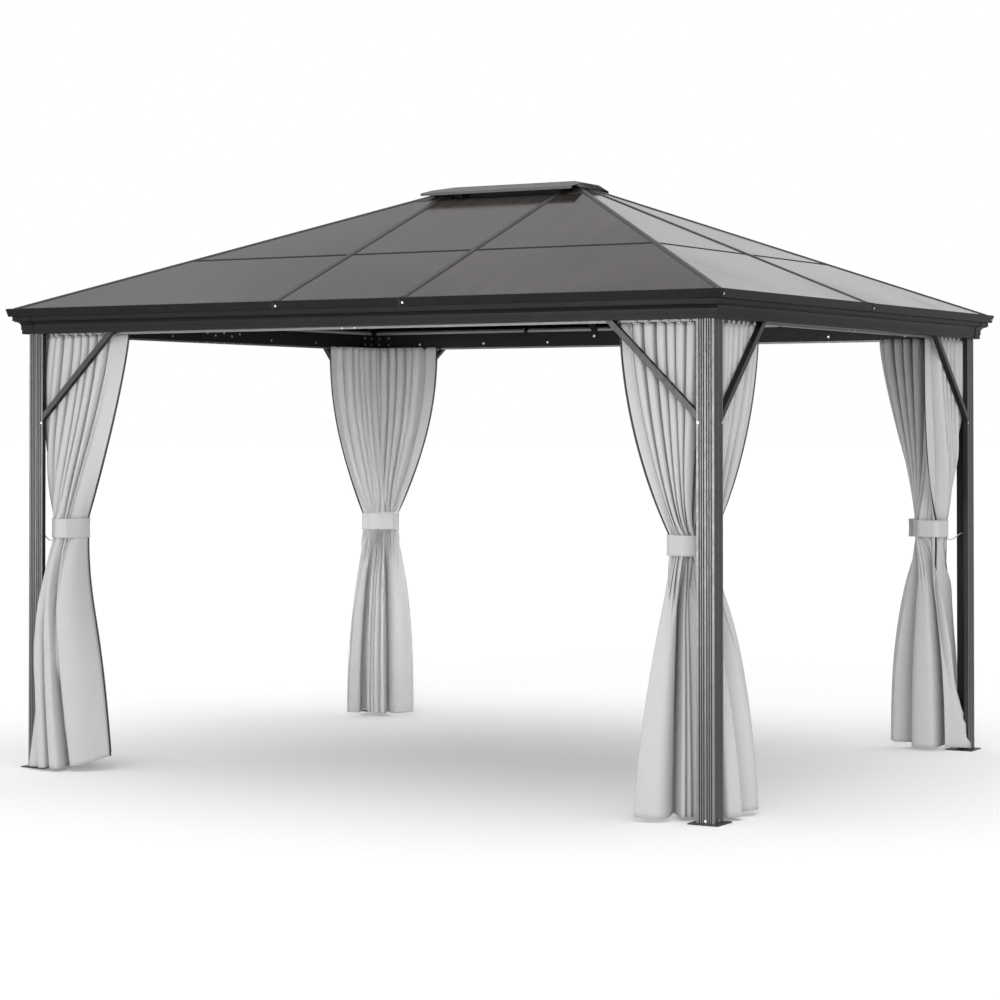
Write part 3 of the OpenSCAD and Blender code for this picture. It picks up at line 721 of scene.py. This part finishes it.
# Curtains: one light grey woven cloth in each corner, as wide as half of both sides that it closes.
# It hangs in deep folds from gliders in the rails, is gathered by a strap and flares out to its hem,
# with a hemmed flap and half of a zipper on each leading edge.
CLOTH_WIDE = 3.05
CLOTH_THICK = 0.0012
HEM_Z = 0.014
FOLD_COLUMNS = 14
FLAP_COLUMNS = 8
RAIL_LINE = 0.142
TURN_RADIUS = 0.045
POST_LEGS = ((0.073, 0.159, 0.073, 0.103), (0.073, 0.103, 0.073, 0.159))
BRACE_FACE = 0.103
ROWS_BELOW, ROWS_BAND, ROWS_ABOVE = 44, 8, 44
FOLD_UNEVEN = 0.2
PANEL_CREST, PANEL_SINK = 1.80, 1.25
TUCK_IN, TUCK_ALONG = 0.20, 0.055
HEAD_FROM, HEAD_RISE, HEAD_DROOP = 0.965, 0.017, 0.005
head_z = rail_low - 0.002

# Facts of each corner's curtain, in metres inward from the eave tip, along X and then along Y: reach of
# both wings on the rails, folds there and their half depth (top_fold), heights of the strap, half depth of
# the bundle (deep), side that the folds face (1 out, -1 in), path of the cloth at the strap (waist) and on
# the ground (hem), half depth and widths of the broad folds (hem_fold, broad) and the height over which
# they form (settle), width of each flap (wide) and the share of the waist that it covers (flaps), how far
# the flaps lie on the bundle's face (hug) and tuck under below the strap (tuck) and above it (top_tuck),
# lift of the hem at both edges, how late each wing is drawn in, how soon it flares out, over how much of
# its height it comes forward, and how far it bellies to the post and from where
CURTAINS = {
    "front_right": dict(reach=(0.520, 0.616), folds=16, top_fold=0.040, strap=(1.035, 1.116), deep=0.075,
                        faces=1, seed=3, waist=((0.311, 0.149), (0.245, 0.215), (0.179, 0.281)),
                        hem_fold=0.098, broad=(1.95, 0.36, 0.36, 0.6, 0.7, 1.4, 1.5), settle=0.28,
                        wide=(0.036, 0.050), flaps=(0.09, 0.10), hug=0.75, tuck=(1.0, 1.0),
                        top_tuck=(0.0, 0.0), lift=(0.004, 0.020), late=(1.8, 1.8), soon=(1.40, 1.45),
                        forward=0.0, belly=(0.0, 0.0),
                        hem=((0.420, 0.055), (0.32, 0.07), (0.225, 0.13), (0.185, 0.20), (0.125, 0.24),
                             (0.085, 0.31), (0.105, 0.39), (0.145, 0.460))),
    "front_left": dict(reach=(0.596, 0.540), folds=15, top_fold=0.040, strap=(1.039, 1.128), deep=0.051,
                       faces=1, seed=11, waist=((0.290, 0.235), (0.280, 0.170), (0.240, 0.145),
                                                (0.206, 0.180), (0.182, 0.245), (0.166, 0.300)),
                       hem_fold=0.088, broad=(0.45, 0.85, 0.6, 1.0, 1.1, 1.2, 0.8), settle=0.42,
                       wide=(0.074, 0.050), flaps=(0.32, 0.10), hug=0.0, tuck=(0.0, 1.0),
                       top_tuck=(0.0, 0.0), lift=(0.050, 0.020), late=(1.25, 2.4), soon=(1.15, 1.55),
                       forward=0.42, belly=(0.034, 0.0),
                       hem=((0.440, 0.195), (0.36, 0.085), (0.25, 0.040), (0.160, 0.040), (0.190, 0.120),
                            (0.190, 0.20), (0.170, 0.28), (0.150, 0.36), (0.13, 0.46))),
    "back_right": dict(reach=(0.555, 0.540), folds=13, top_fold=0.050, strap=(1.015, 1.098), deep=0.080,
                       faces=-1, seed=23, waist=((0.306, 0.171), (0.240, 0.237), (0.174, 0.303)),
                       hem_fold=0.098, settle=0.26,
                       broad=(0.95, 0.22, 0.22, 0.22, 3.2, 0.22, 0.22, 0.22, 0.22, 0.7),
                       wide=(0.036, 0.070), flaps=(0.10, 0.22), hug=0.6, tuck=(1.0, 0.0),
                       top_tuck=(1.0, 0.0), lift=(0.020, 0.005), late=(1.30, 2.3), soon=(2.4, 2.0),
                       forward=0.0, belly=(0.034, 0.15),
                       hem=((0.446, 0.115), (0.39, 0.165), (0.31, 0.21), (0.22, 0.20), (0.14, 0.18),
                            (0.122, 0.18), (0.128, 0.23), (0.165, 0.235))),
    "back_left": dict(reach=(0.530, 0.575), folds=13, top_fold=0.056, strap=(0.987, 1.078), deep=0.075,
                      faces=-1, seed=31, waist=((0.294, 0.158), (0.227, 0.225), (0.160, 0.292)),
                      hem_fold=0.092, broad=(1.9, 0.45, 0.45, 0.45, 0.45, 1.9), settle=0.24,
                      wide=(0.060, 0.060), flaps=(0.12, 0.12), hug=0.6, tuck=(1.0, 1.0),
                      top_tuck=(0.0, 0.0), lift=(0.012, 0.012), late=(2.1, 2.2), soon=(2.9, 2.4),
                      forward=0.0, belly=(0.0, 0.0),
                      hem=((0.398, 0.175), (0.35, 0.26), (0.29, 0.30), (0.235, 0.30), (0.18, 0.32),
                           (0.098, 0.415))),
}


def ease(x):
    """Smooth step from 0 to 1."""
    x = np.clip(x, 0.0, 1.0)
    return x * x * (3 - 2 * x)


def along_path(points, shares):
    """Points at shares of the length of a smooth path through the given points."""
    knots = np.array(points, float)
    ends = np.vstack([2 * knots[0] - knots[1], knots, 2 * knots[-1] - knots[-2]])
    t = np.linspace(0, 1, 24, endpoint=False)[:, None]
    run = []
    for a, b, c, d in zip(ends, ends[1:], ends[2:], ends[3:]):
        run.append(0.5 * (2 * b + (c - a) * t + (2 * a - 5 * b + 4 * c - d) * t**2
                          + (3 * b - a - 3 * c + d) * t**3))
    dense = np.vstack(run + [knots[-1:]])
    length = np.concatenate([[0], np.cumsum(np.linalg.norm(np.diff(dense, axis=0), axis=1))])
    at = np.asarray(shares) * length[-1]
    return np.stack([np.interp(at, length, dense[:, k]) for k in range(2)], axis=1)


def rail_path(reach):
    """Path of a curtain's head under the two rails, with a round turn inside the post."""
    inner = RAIL_LINE + TURN_RADIUS
    turn = [(inner - TURN_RADIUS * math.sin(a), inner - TURN_RADIUS * math.cos(a))
            for a in map(math.radians, range(0, 91, 15))]
    before = [(x, RAIL_LINE) for x in np.linspace(reach[0], inner, 6)[:-1]]
    after = [(RAIL_LINE, y) for y in np.linspace(inner, reach[1], 6)[1:]]
    return before + turn + after


def clear_of_post(start, way, far):
    """How far each point may move along its way before it meets a leg of the post."""
    room = np.abs(far)
    heading = way * np.sign(far)[:, None]
    safe = np.where(np.abs(heading) < 1e-6, 1e-6, heading)
    for u0, u1, v0, v1 in POST_LEGS:
        enter_u, leave_u = (u0 - start[:, 0]) / safe[:, 0], (u1 - start[:, 0]) / safe[:, 0]
        enter_v, leave_v = (v0 - start[:, 1]) / safe[:, 1], (v1 - start[:, 1]) / safe[:, 1]
        enter = np.maximum(np.minimum(enter_u, leave_u), np.minimum(enter_v, leave_v))
        leave = np.minimum(np.maximum(enter_u, leave_u), np.maximum(enter_v, leave_v))
        meets = (enter < leave) & (leave > 0)
        room = np.where(meets, np.minimum(room, np.maximum(enter, 0)), room)
    return room * np.sign(far)


def fold_columns(facts):
    """What each column of a curtain's cloth does in its narrow fold, its broad fold and its flap."""
    rng = np.random.default_rng(facts["seed"])
    folds, count = facts["folds"], len(facts["broad"])
    ends = np.arange(folds + 1)
    bounds = ends + np.concatenate([[0], rng.uniform(-FOLD_UNEVEN, FOLD_UNEVEN, folds - 1), [0]])
    broad = np.concatenate([[0], np.cumsum(facts["broad"])]) / sum(facts["broad"])
    fold = np.linspace(0, 1, folds * FOLD_COLUMNS + 1)
    place = np.interp(fold * folds, bounds, ends)
    turns = np.concatenate([[0.5], np.arange(1, count), [count - 0.5]])
    sunk = np.clip(np.array(facts["broad"]) / 0.5, 0.45, 1.0)
    flap = np.linspace(1, 0, FLAP_COLUMNS, endpoint=False)
    plain = np.zeros(len(fold))
    middle = FLAP_COLUMNS + len(fold) // 2
    return dict(
        fold=fold, flap=flap, phase=2 * np.pi * place,
        depth=np.interp(place, ends, rng.uniform(0.78, 1.15, folds + 1)),
        sway=np.interp(place, ends, rng.uniform(-0.6, 0.6, folds + 1)),
        broad_sway=np.interp(fold, broad, rng.uniform(-0.5, 0.5, count + 1)),
        broad_depth=np.interp(fold, broad, rng.uniform(0.8, 1.15, count + 1)),
        broad_phase=2 * np.pi * np.interp(fold, broad, turns) + np.pi,
        broad_wide=np.interp(fold, (broad[1:] + broad[:-1]) / 2, np.diff(broad) * count),
        sunk=sunk[np.clip(np.searchsorted(broad, fold, side="right") - 1, 0, count - 1)],
        # Every second fold closes up towards the strap, so that fewer and wider ones show there
        minor=0.5 - 0.5 * np.cos(np.pi * np.clip(place - 0.25, 0, folds)),
        calm=ease(np.minimum(fold, 1 - fold) * folds / 0.7),
        is_flap=np.concatenate([flap, plain, flap[::-1]]),
        under=[np.concatenate([turned[0] * flap, plain, turned[1] * flap[::-1]])
               for turned in (facts["tuck"], facts["top_tuck"])],
        inward=np.where(np.arange(len(fold) + 2 * FLAP_COLUMNS) < middle, 1.0, -1.0))


def cloth_path(facts, share, z, above, below):
    """Path of the cloth at one height, at those shares of its length and without its folds."""
    late, soon = (ends[0] + (ends[1] - ends[0]) * share for ends in (facts["late"], facts["soon"]))
    waist = along_path(facts["waist"], share)
    if z > facts["strap"][0]:
        pulled = ((1 - above) ** late)[:, None]
        path = (1 - pulled) * along_path(rail_path(facts["reach"]), share) + pulled * waist
        bellied, from_top = facts["belly"]
        corner_share = (facts["reach"][0] - RAIL_LINE) / (sum(facts["reach"]) - 2 * RAIL_LINE)
        bulge = np.exp(-((share - corner_share - 0.06) / 0.20) ** 2)
        path[:, 0] -= bellied * bulge * math.sin(math.pi * (from_top + (1 - from_top) * (1 - above) ** 0.8))
        return path
    flare = (1 - (1 - below) ** soon)[:, None]
    hem = along_path(facts["hem"], share)
    path = (1 - flare) * waist + flare * hem
    if facts["forward"]:
        forth = 1 - (1 - min(below / facts["forward"], 1.0)) ** 2.2
        path[:, 1] = (1 - forth) * waist[:, 1] + forth * hem[:, 1]
    return path


def cloth_folds(facts, columns, step, above, below, drawn, merge):
    """How far each column stands out from the path and slides along it, and the turn of its narrow fold."""
    faces = facts["faces"]
    turn = columns["phase"] + columns["sway"] * (1 - above) * above * 3
    valley = 0.5 - 0.5 * faces * np.sin(turn)
    wave = faces * (1 - 2 * valley**1.7) * columns["depth"] * (1 - 0.35 * drawn * columns["minor"])
    lean = -0.52 * np.sin(2 * turn) - 0.62 * faces * np.cos(turn)
    lean *= step * FOLD_COLUMNS / (2 * np.pi)
    sweep = columns["broad_phase"] + columns["broad_sway"] * below * (1 - 0.4 * below) * 1.6
    crest = 1 - (0.5 - 0.5 * np.cos(sweep)) ** 2.5
    panel = faces * columns["broad_depth"] * (PANEL_CREST * crest * columns["sunk"] - PANEL_SINK)
    spread = 0.6 * np.sin(sweep) * step * columns["broad_wide"]
    spread = spread * (facts["folds"] * FOLD_COLUMNS / len(facts["broad"])) / (2 * np.pi)
    # Narrow folds above the strap run together into broad ones below it
    inner_push = (1 - merge) * wave * columns["calm"] + merge * panel
    inner_slide = (1 - merge) * lean * columns["calm"] + merge * spread
    at_flap = np.zeros(FLAP_COLUMNS)
    push = np.concatenate([at_flap + merge * panel[0], inner_push, at_flap + merge * panel[-1]])
    return push, np.concatenate([at_flap, inner_slide, at_flap]), turn


def curtain_points(facts):
    """Grid of points of one curtain in the corner's own frame, its cloth sizes, and its folds' crests."""
    columns = fold_columns(facts)
    fold, flap = columns["fold"], columns["flap"]
    inner = slice(FLAP_COLUMNS, FLAP_COLUMNS + len(fold))
    low, high = facts["strap"]
    heights = np.concatenate([
        HEM_Z + (low - HEM_Z) * np.linspace(0, 1, ROWS_BELOW, endpoint=False),
        low + (high - low) * np.linspace(0, 1, ROWS_BAND, endpoint=False),
        high + (head_z - high) * np.linspace(0, 1, ROWS_ABOVE)])
    rail_length = sum(facts["reach"]) - 2 * RAIL_LINE
    grid = []
    for z in heights:
        above = float(np.clip((z - high) / (head_z - high), 0, 1))
        below = float(np.clip((low - z) / (low - HEM_Z), 0, 1))
        drawn = (1 - above) ** (sum(facts["late"]) / 2)
        # Shares of the path: the flaps keep their width at head and hem, and wrap the bundle at the strap
        wrap = drawn if z > high else 1 - 0.6 * below
        x_flap, y_flap = (w / rail_length + (f - w / rail_length) * wrap
                          for f, w in zip(facts["flaps"], facts["wide"]))
        merge = float(ease((high - z) / (high - low + facts["settle"])))
        weight = np.diff(fold, prepend=0) * (1 - 0.7 * drawn * (1 - merge) * columns["minor"])
        packed = np.cumsum(weight) / weight.sum()
        share = np.concatenate([x_flap * (1 - flap), x_flap + (1 - x_flap - y_flap) * packed,
                                1 - y_flap * (1 - flap[::-1])])
        path = cloth_path(facts, share, z, above, below)
        way = np.gradient(path, axis=0)
        step = np.linalg.norm(way, axis=1)
        way /= np.maximum(step, 1e-9)[:, None]
        out = np.stack([-way[:, 1], way[:, 0]], axis=1)
        round_off = np.sqrt(np.clip(1 - (0.985 * (2 * share - 1)) ** 2, 0, 1))
        tight = drawn if z > low else 1 - float(ease(below / 0.7))
        loose = facts["hem_fold" if z < low else "top_fold"]
        reach_out = (1 - tight) * loose + tight * facts["deep"] * round_off
        push, slide, turn = cloth_folds(facts, columns, step[inner], above, below, drawn, merge)
        push += facts["faces"] * facts["hug"] * tight * columns["is_flap"]
        tucked = ease((columns["under"][0] - 0.40) / 0.60) * float(ease(below / 0.28))
        tucked = tucked + ease((columns["under"][1] - 0.30) / 0.70) * float(ease(above / 0.15)) * 0.8
        push -= facts["faces"] * TUCK_IN * tucked
        slide += columns["inward"] * TUCK_ALONG * tucked
        start = path + way * slide[:, None]
        far = clear_of_post(start, out, push * reach_out)
        # The cloth lies against the braces and does not pass them
        spot = np.maximum(start + out * far[:, None], BRACE_FACE if z > high else 0.0)
        lift = below**2 * (facts["lift"][0] * np.clip(1 - share * 4, 0, 1)
                           + facts["lift"][1] * np.clip(share * 4 - 3, 0, 1))
        # The heads of the folds stand up behind the rail and droop in front of it
        at_head = float(ease((above - HEAD_FROM) / (1 - HEAD_FROM)))
        rise = at_head * HEAD_RISE * ease((spot.min(axis=1) - RAIL_INSIDE - 0.006) / 0.022)
        droop = np.zeros(len(share))
        droop[inner] = HEAD_DROOP * at_head * (1 - np.sin(turn)) / 2
        grid.append(np.column_stack([spot, z + lift - droop + rise]))
    x_wide, y_wide = facts["wide"]
    cloth_u = np.concatenate([x_wide * (1 - flap), x_wide + (CLOTH_WIDE - x_wide - y_wide) * fold,
                              CLOTH_WIDE - y_wide * (1 - flap[::-1])])
    crests = [FLAP_COLUMNS + int(np.argmin(abs(columns["phase"] - (2 * np.pi * k + np.pi / 2))))
              for k in range(facts["folds"])]
    return np.array(grid), cloth_u, heights, crests


def to_world(points, corner):
    """From the corner's own frame, inward from the eave tip, to the gazebo's frame."""
    sx, sy = CORNERS[corner]
    points = np.asarray(points, float)
    return np.stack([sx * (half_l - points[..., 0]), sy * (half_w - points[..., 1]), points[..., 2]],
                    axis=-1)


def grid_piece(name, grid, across_values, up_values, material):
    """A sheet from a grid of points, with its cloth sizes in metres as a UV map."""
    rows, columns = grid.shape[:2]
    index = np.arange(rows * columns).reshape(rows, columns)
    rounds = (index[:-1, :-1], index[:-1, 1:], index[1:, 1:], index[1:, :-1])
    faces = np.stack(rounds, axis=-1).reshape(-1, 4)
    piece = mesh_piece(name, grid.reshape(-1, 3), faces.tolist(), material)
    uv = piece.data.uv_layers.new(name="cloth")
    flat = np.stack(np.meshgrid(across_values, up_values), axis=-1).reshape(-1, 2)
    loops = np.zeros(len(piece.data.loops), int)
    piece.data.loops.foreach_get("vertex_index", loops)
    uv.data.foreach_set("uv", flat[loops].astype(np.float32).ravel())
    return piece


def thicken(piece, thickness):
    """Gives a sheet its thickness, half to each side."""
    solid = piece.modifiers.new("thickness", "SOLIDIFY")
    solid.thickness = thickness
    solid.offset = 0.0
    return piece


CLOTH_GREY = (0.630, 0.630, 0.633, 1.0)
CLOTH_SHADE = (0.565, 0.565, 0.569, 1.0)


def woven_cloth(name, light, dark):
    """Woven polyester with slubs in both thread directions and soft packing creases."""
    material, tree, shader = start_material(name)
    place = add_node(tree, "ShaderNodeUVMap", uv_map="cloth").outputs["UV"]
    slubs = []
    for stretch in ((7.0, 420.0, 1.0), (420.0, 7.0, 1.0)):
        laid = add_node(tree, "ShaderNodeMapping", {"Vector": place, "Scale": stretch})
        slubs.append(noise(tree, laid.outputs[0], 1.0, 3.0))
    threads = maths(tree, "ADD", *slubs)
    relief = maths(tree, "ADD", threads, noise(tree, place, 5.0, 4.0))
    bump = add_node(tree, "ShaderNodeBump", {"Strength": 0.18, "Distance": 0.0010, "Height": relief})
    feed(tree, shader, {"Base Color": blend(tree, ramp(tree, threads, 0.5, 1.5), dark, light),
                        "Roughness": 0.85, "Sheen Weight": 0.12, "Specular IOR Level": 0.25,
                        "Normal": bump.outputs[0]})
    return material


cloth = woven_cloth("curtain_cloth", CLOTH_GREY, CLOTH_SHADE)


# Zipper: a dark woven tape sewn along both leading edges of each curtain, with moulded plastic teeth on its
# free edge, so that neighbouring curtains can be closed on each other.
TAPE_WIDE = 0.0050
TAPE_LAP = 0.0030
TAPE_THICK = 0.0022
TAPE_DARK = (0.055, 0.055, 0.058, 1.0)
TAPE_SHADE = (0.030, 0.030, 0.032, 1.0)
TOOTH_BLACK = (0.02, 0.02, 0.021, 1.0)
TOOTH_PITCH = 0.006
TOOTH_SIZE = {"Wide": 0.0036, "Tall": 0.0034}
TEETH_FROM, TEETH_SHORT = 0.02, 0.03
TAPE_ABOVE = 0.02


def tooth_tree():
    """One moulded zipper tooth."""
    tree, given = new_shape_tree("zipper_tooth", ("Wide", "Tall"))
    wide, tall = given.outputs["Wide"], given.outputs["Tall"]
    size = add_node(tree, "ShaderNodeCombineXYZ", {"X": wide, "Y": tall, "Z": wide})
    tooth = add_node(tree, "GeometryNodeMeshCube", {"Size": size.outputs[0]})
    return end_shape_tree(tree, given, tooth.outputs["Mesh"])


tape_cloth = woven_cloth("zipper_tape", TAPE_DARK, TAPE_SHADE)
tooth_plastic = rubber("zipper_teeth", TOOTH_BLACK)
teeth = tooth_tree()


def sew_zippers(corner, facts, grid, heights):
    """Tape and teeth on both leading edges of a curtain, and the points of the tapes."""
    pieces, tape_points, tooth_spots, tooth_ways = [], [], [], []
    for end, side, tucked in (("x", 0, facts["tuck"][0]), ("y", -1, facts["tuck"][1])):
        # Below the strap a tucked edge lies behind the folds
        shown = grid[:, side, 2] > (facts["strap"][0] + TAPE_ABOVE if tucked else 0.0)
        edge = grid[shown, side]
        way = edge - grid[shown, 1 if side == 0 else -2]
        way[:, 2] = 0.0
        way /= np.linalg.norm(way, axis=1)[:, None]
        strip = np.stack([edge + far * way for far in (-TAPE_LAP, 0.5 * TAPE_WIDE, TAPE_WIDE)], axis=1)
        tape_points.append(strip.reshape(-1, 3))
        tape = grid_piece("zipper_tape_%s_%s" % (end, corner), to_world(strip, corner),
                          np.array([0.0, 0.5, 1.0]) * TAPE_WIDE, heights[shown], tape_cloth)
        thicken(tape, TAPE_THICK)
        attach(tape, "root")
        pieces.append(tape)
        for z in np.arange(edge[0, 2] + TEETH_FROM, edge[-1, 2] - TEETH_SHORT, TOOTH_PITCH):
            rim = [np.interp(z, edge[:, 2], strip[:, 2, k]) for k in range(2)]
            tooth_spots.append(to_world(np.array([rim[0], rim[1], z]), corner))
            tooth_ways.append(corner_way(corner, *[np.interp(z, edge[:, 2], way[:, k]) for k in range(2)]))
    pieces.append(set_out("zipper_teeth_" + corner, teeth, tooth_spots, tooth_ways, TOOTH_SIZE,
                          tooth_plastic))
    return pieces, tape_points


# Rings: a white moulded nylon ring at the head of each fold, fixed to the cloth and hung on a glider that
# runs in the rail.
RING_RADIUS = 0.0062
RING_WIRE = 0.0018
RING_OUT, RING_UP = 0.006, 0.003
RING_WHITE = 0.82


def ring_tree():
    """A round nylon ring."""
    tree, given = new_shape_tree("nylon_ring", ("Ring radius", "Wire radius"))
    hoop = add_node(tree, "GeometryNodeCurvePrimitiveCircle",
                    {"Resolution": 18, "Radius": given.outputs["Ring radius"]})
    wire = add_node(tree, "GeometryNodeCurvePrimitiveCircle",
                    {"Resolution": 6, "Radius": given.outputs["Wire radius"]})
    tube = add_node(tree, "GeometryNodeCurveToMesh",
                    {"Curve": hoop.outputs["Curve"], "Profile Curve": wire.outputs["Curve"]})
    return end_shape_tree(tree, given, tube.outputs["Mesh"])


def nylon(name, white):
    """White moulded nylon, slightly yellowed in patches."""
    material, tree, shader = start_material(name)
    place = add_node(tree, "ShaderNodeTexCoord").outputs["Object"]
    patch = noise(tree, place, 25.0, 2.0)
    yellowed = (white * 0.9, white * 0.89, white * 0.85, 1.0)
    feed(tree, shader, {"Base Color": blend(tree, patch, (white, white, white, 1.0), yellowed),
                        "Roughness": 0.4})
    return material


ring_nylon = nylon("ring_nylon", RING_WHITE)
rings = ring_tree()


def hang_rings(corner, facts, grid, crests):
    """A ring before the crest of each fold's head, facing as the rail does there."""
    along = np.gradient(along_path(rail_path(facts["reach"]), np.linspace(0, 1, facts["folds"])), axis=0)
    before_rail = np.stack([-along[:, 1], along[:, 0]], axis=1)
    ways = [corner_way(corner, *way) for way in before_rail]
    before_rail /= np.linalg.norm(before_rail, axis=1)[:, None]
    top = grid[-1, crests]
    top[:, :2] += RING_OUT * before_rail
    spots = to_world(top + np.array([0.0, 0.0, RING_UP]), corner)
    return set_out("curtain_rings_" + corner, rings, spots, ways,
                   {"Ring radius": RING_RADIUS, "Wire radius": RING_WIRE}, ring_nylon)


# Hanging: each corner's cloth goes up on the rails by its rings, with its zippers sewn on.
# The gathered cloth and its tapes set the girth of the strap round them.
hung = {}
for corner, facts in CURTAINS.items():
    grid, cloth_u, heights, crests = curtain_points(facts)
    curtain = grid_piece("curtain_cloth_" + corner, to_world(grid, corner), cloth_u, heights, cloth)
    thicken(curtain, CLOTH_THICK)
    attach(curtain, "root")
    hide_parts("curtain_" + corner)
    on_cloth, tape_points = sew_zippers(corner, facts, grid, heights)
    on_cloth.append(hang_rings(corner, facts, grid, crests))
    hung[corner] = [grid.reshape(-1, 3)] + tape_points


# Straps: a band of the same cloth, wrapped once round each gathered curtain and closed on itself,
# with its free end lapped over and hooked back to the post by a bent wire.
STRAP_GAP = 0.0045
STRAP_THICK = 0.0024
STRAP_COLUMNS = 150
STRAP_ROWS = 9
STRAP_LAP = 0.10
LAP_STEP = 0.0036
HOOK_WIRE = 0.0024
HOOK_HOLD = (0.101, 0.125)
# Bends of the wire, as the share of its way from the post to the strap and the rise above that line
HOOK_BENDS = ((0.0, 0.0), (0.15, 0.010), (0.32, 0.004), (0.5, -0.010), (0.7, -0.020), (0.92, -0.022),
              (1.0, -0.012), (1.0, 0.0), (1.0, 0.014))
# Where each strap starts round the bundle, as a direction in the corner's frame, and how far its end
# stands off
STRAP_ENDS = {"front_right": ((1.0, -0.4), 0.003), "front_left": ((0.6, 1.0), 0.003),
              "back_right": ((0.94, -0.34), 0.022), "back_left": ((1.0, -0.1), 0.004)}


def outline_of(points):
    """Convex outline of flat points, counter-clockwise."""
    ordered = sorted(map(tuple, points))
    halves = []
    for run in (ordered, ordered[::-1]):
        edge = []
        for p in run:
            while len(edge) > 1 and ((edge[-1][0] - edge[-2][0]) * (p[1] - edge[-2][1])
                                     - (edge[-1][1] - edge[-2][1]) * (p[0] - edge[-2][0])) <= 0:
                edge.pop()
            edge.append(p)
        halves += edge[:-1]
    return np.array(halves)


def evened(closed, count):
    """A closed outline at even steps, with its corners softened."""
    loop = np.vstack([closed, closed[:1]])
    length = np.concatenate([[0], np.cumsum(np.linalg.norm(np.diff(loop, axis=0), axis=1))])
    at = np.linspace(0, length[-1], count, endpoint=False)
    even = np.stack([np.interp(at, length, loop[:, k]) for k in range(2)], axis=1)
    for _ in range(6):
        even = 0.25 * np.roll(even, 1, axis=0) + 0.5 * even + 0.25 * np.roll(even, -1, axis=0)
    return even, length[-1]


def strap_points(corner):
    """Grid of points of a strap in the corner's own frame, its length, and the point nearest the post."""
    facts = CURTAINS[corner]
    low, high = facts["strap"]
    grid = np.vstack(hung[corner])
    held = grid[(grid[:, 2] > low - 0.006) & (grid[:, 2] < high + 0.006)]
    even, length = evened(outline_of(held[:, :2]), STRAP_COLUMNS)
    start, stand_off = STRAP_ENDS[corner]
    even = np.roll(even, -int(np.argmax(even @ np.array(start))), axis=0)
    way = np.roll(even, -1, axis=0) - np.roll(even, 1, axis=0)
    out = np.stack([way[:, 1], -way[:, 0]], axis=1) / np.linalg.norm(way, axis=1)[:, None]
    count = int(STRAP_COLUMNS * (1 + STRAP_LAP))
    rng = np.random.default_rng(facts["seed"] + 100)
    pucker = np.interp(np.arange(count), np.linspace(0, count, 14), rng.uniform(-0.0012, 0.0016, 14))
    rows = []
    for k in range(STRAP_ROWS):
        up = k / (STRAP_ROWS - 1)
        ring = []
        for c in range(count):
            past = c / STRAP_COLUMNS - 1
            off = STRAP_GAP + LAP_STEP * float(ease((past + 0.03) / 0.04))
            off += stand_off * float(ease((past - 0.02) / (STRAP_LAP - 0.02))) if past > 0.02 else 0.0
            off += pucker[c] * math.sin(math.pi * up) + 0.0008 * math.cos(2 * math.pi * up)
            spot = even[c % STRAP_COLUMNS] + off * out[c % STRAP_COLUMNS]
            ring.append((spot[0], spot[1], low + (high - low) * up + 0.003 * math.sin(6.0 * c / count + up)))
        rows.append(ring)
    near = even[int(np.argmin(even.sum(axis=1)))]
    return np.array(rows), length * (1 + STRAP_LAP), near


def bent_wire(name, points, radius, material):
    """A bent round wire through the given points, as a mesh."""
    curve = bpy.data.curves.new(name, "CURVE")
    curve.dimensions = "3D"
    curve.bevel_depth = radius
    curve.bevel_resolution = 3
    curve.use_fill_caps = True
    spline = curve.splines.new("NURBS")
    spline.points.add(len(points) - 1)
    for spot, point in zip(spline.points, points):
        spot.co = (*point, 1.0)
    spline.use_endpoint_u = True
    spline.order_u = 4
    drawn = bpy.data.objects.new(name, curve)
    bpy.context.collection.objects.link(drawn)
    mesh = bpy.data.meshes.new_from_object(drawn.evaluated_get(bpy.context.evaluated_depsgraph_get()))
    bpy.data.objects.remove(drawn)
    bpy.data.curves.remove(curve)
    mesh.materials.clear()
    mesh.materials.append(material)
    mesh.polygons.foreach_set("use_smooth", [True] * len(mesh.polygons))
    piece = bpy.data.objects.new(name, mesh)
    bpy.context.collection.objects.link(piece)
    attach(piece, "root")
    return piece


for corner in CORNERS:
    band, band_length, near = strap_points(corner)
    low, high = CURTAINS[corner]["strap"]
    strap = grid_piece("tie_strap_" + corner, to_world(band, corner),
                       np.linspace(0, band_length, band.shape[1]),
                       np.linspace(0, high - low, STRAP_ROWS), cloth)
    thicken(strap, STRAP_THICK)
    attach(strap, "root")
    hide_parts("tie_bands")
    hold = np.array([*HOOK_HOLD, low + 0.012])
    loop = np.array([near[0] - 0.002, near[1] - 0.002, low + 0.006])
    path = [hold + share * (loop - hold) + np.array([0.0, 0.0, rise]) for share, rise in HOOK_BENDS]
    hook = bent_wire("strap_hook_" + corner, to_world(np.array(path), corner), HOOK_WIRE, bolt_metal)
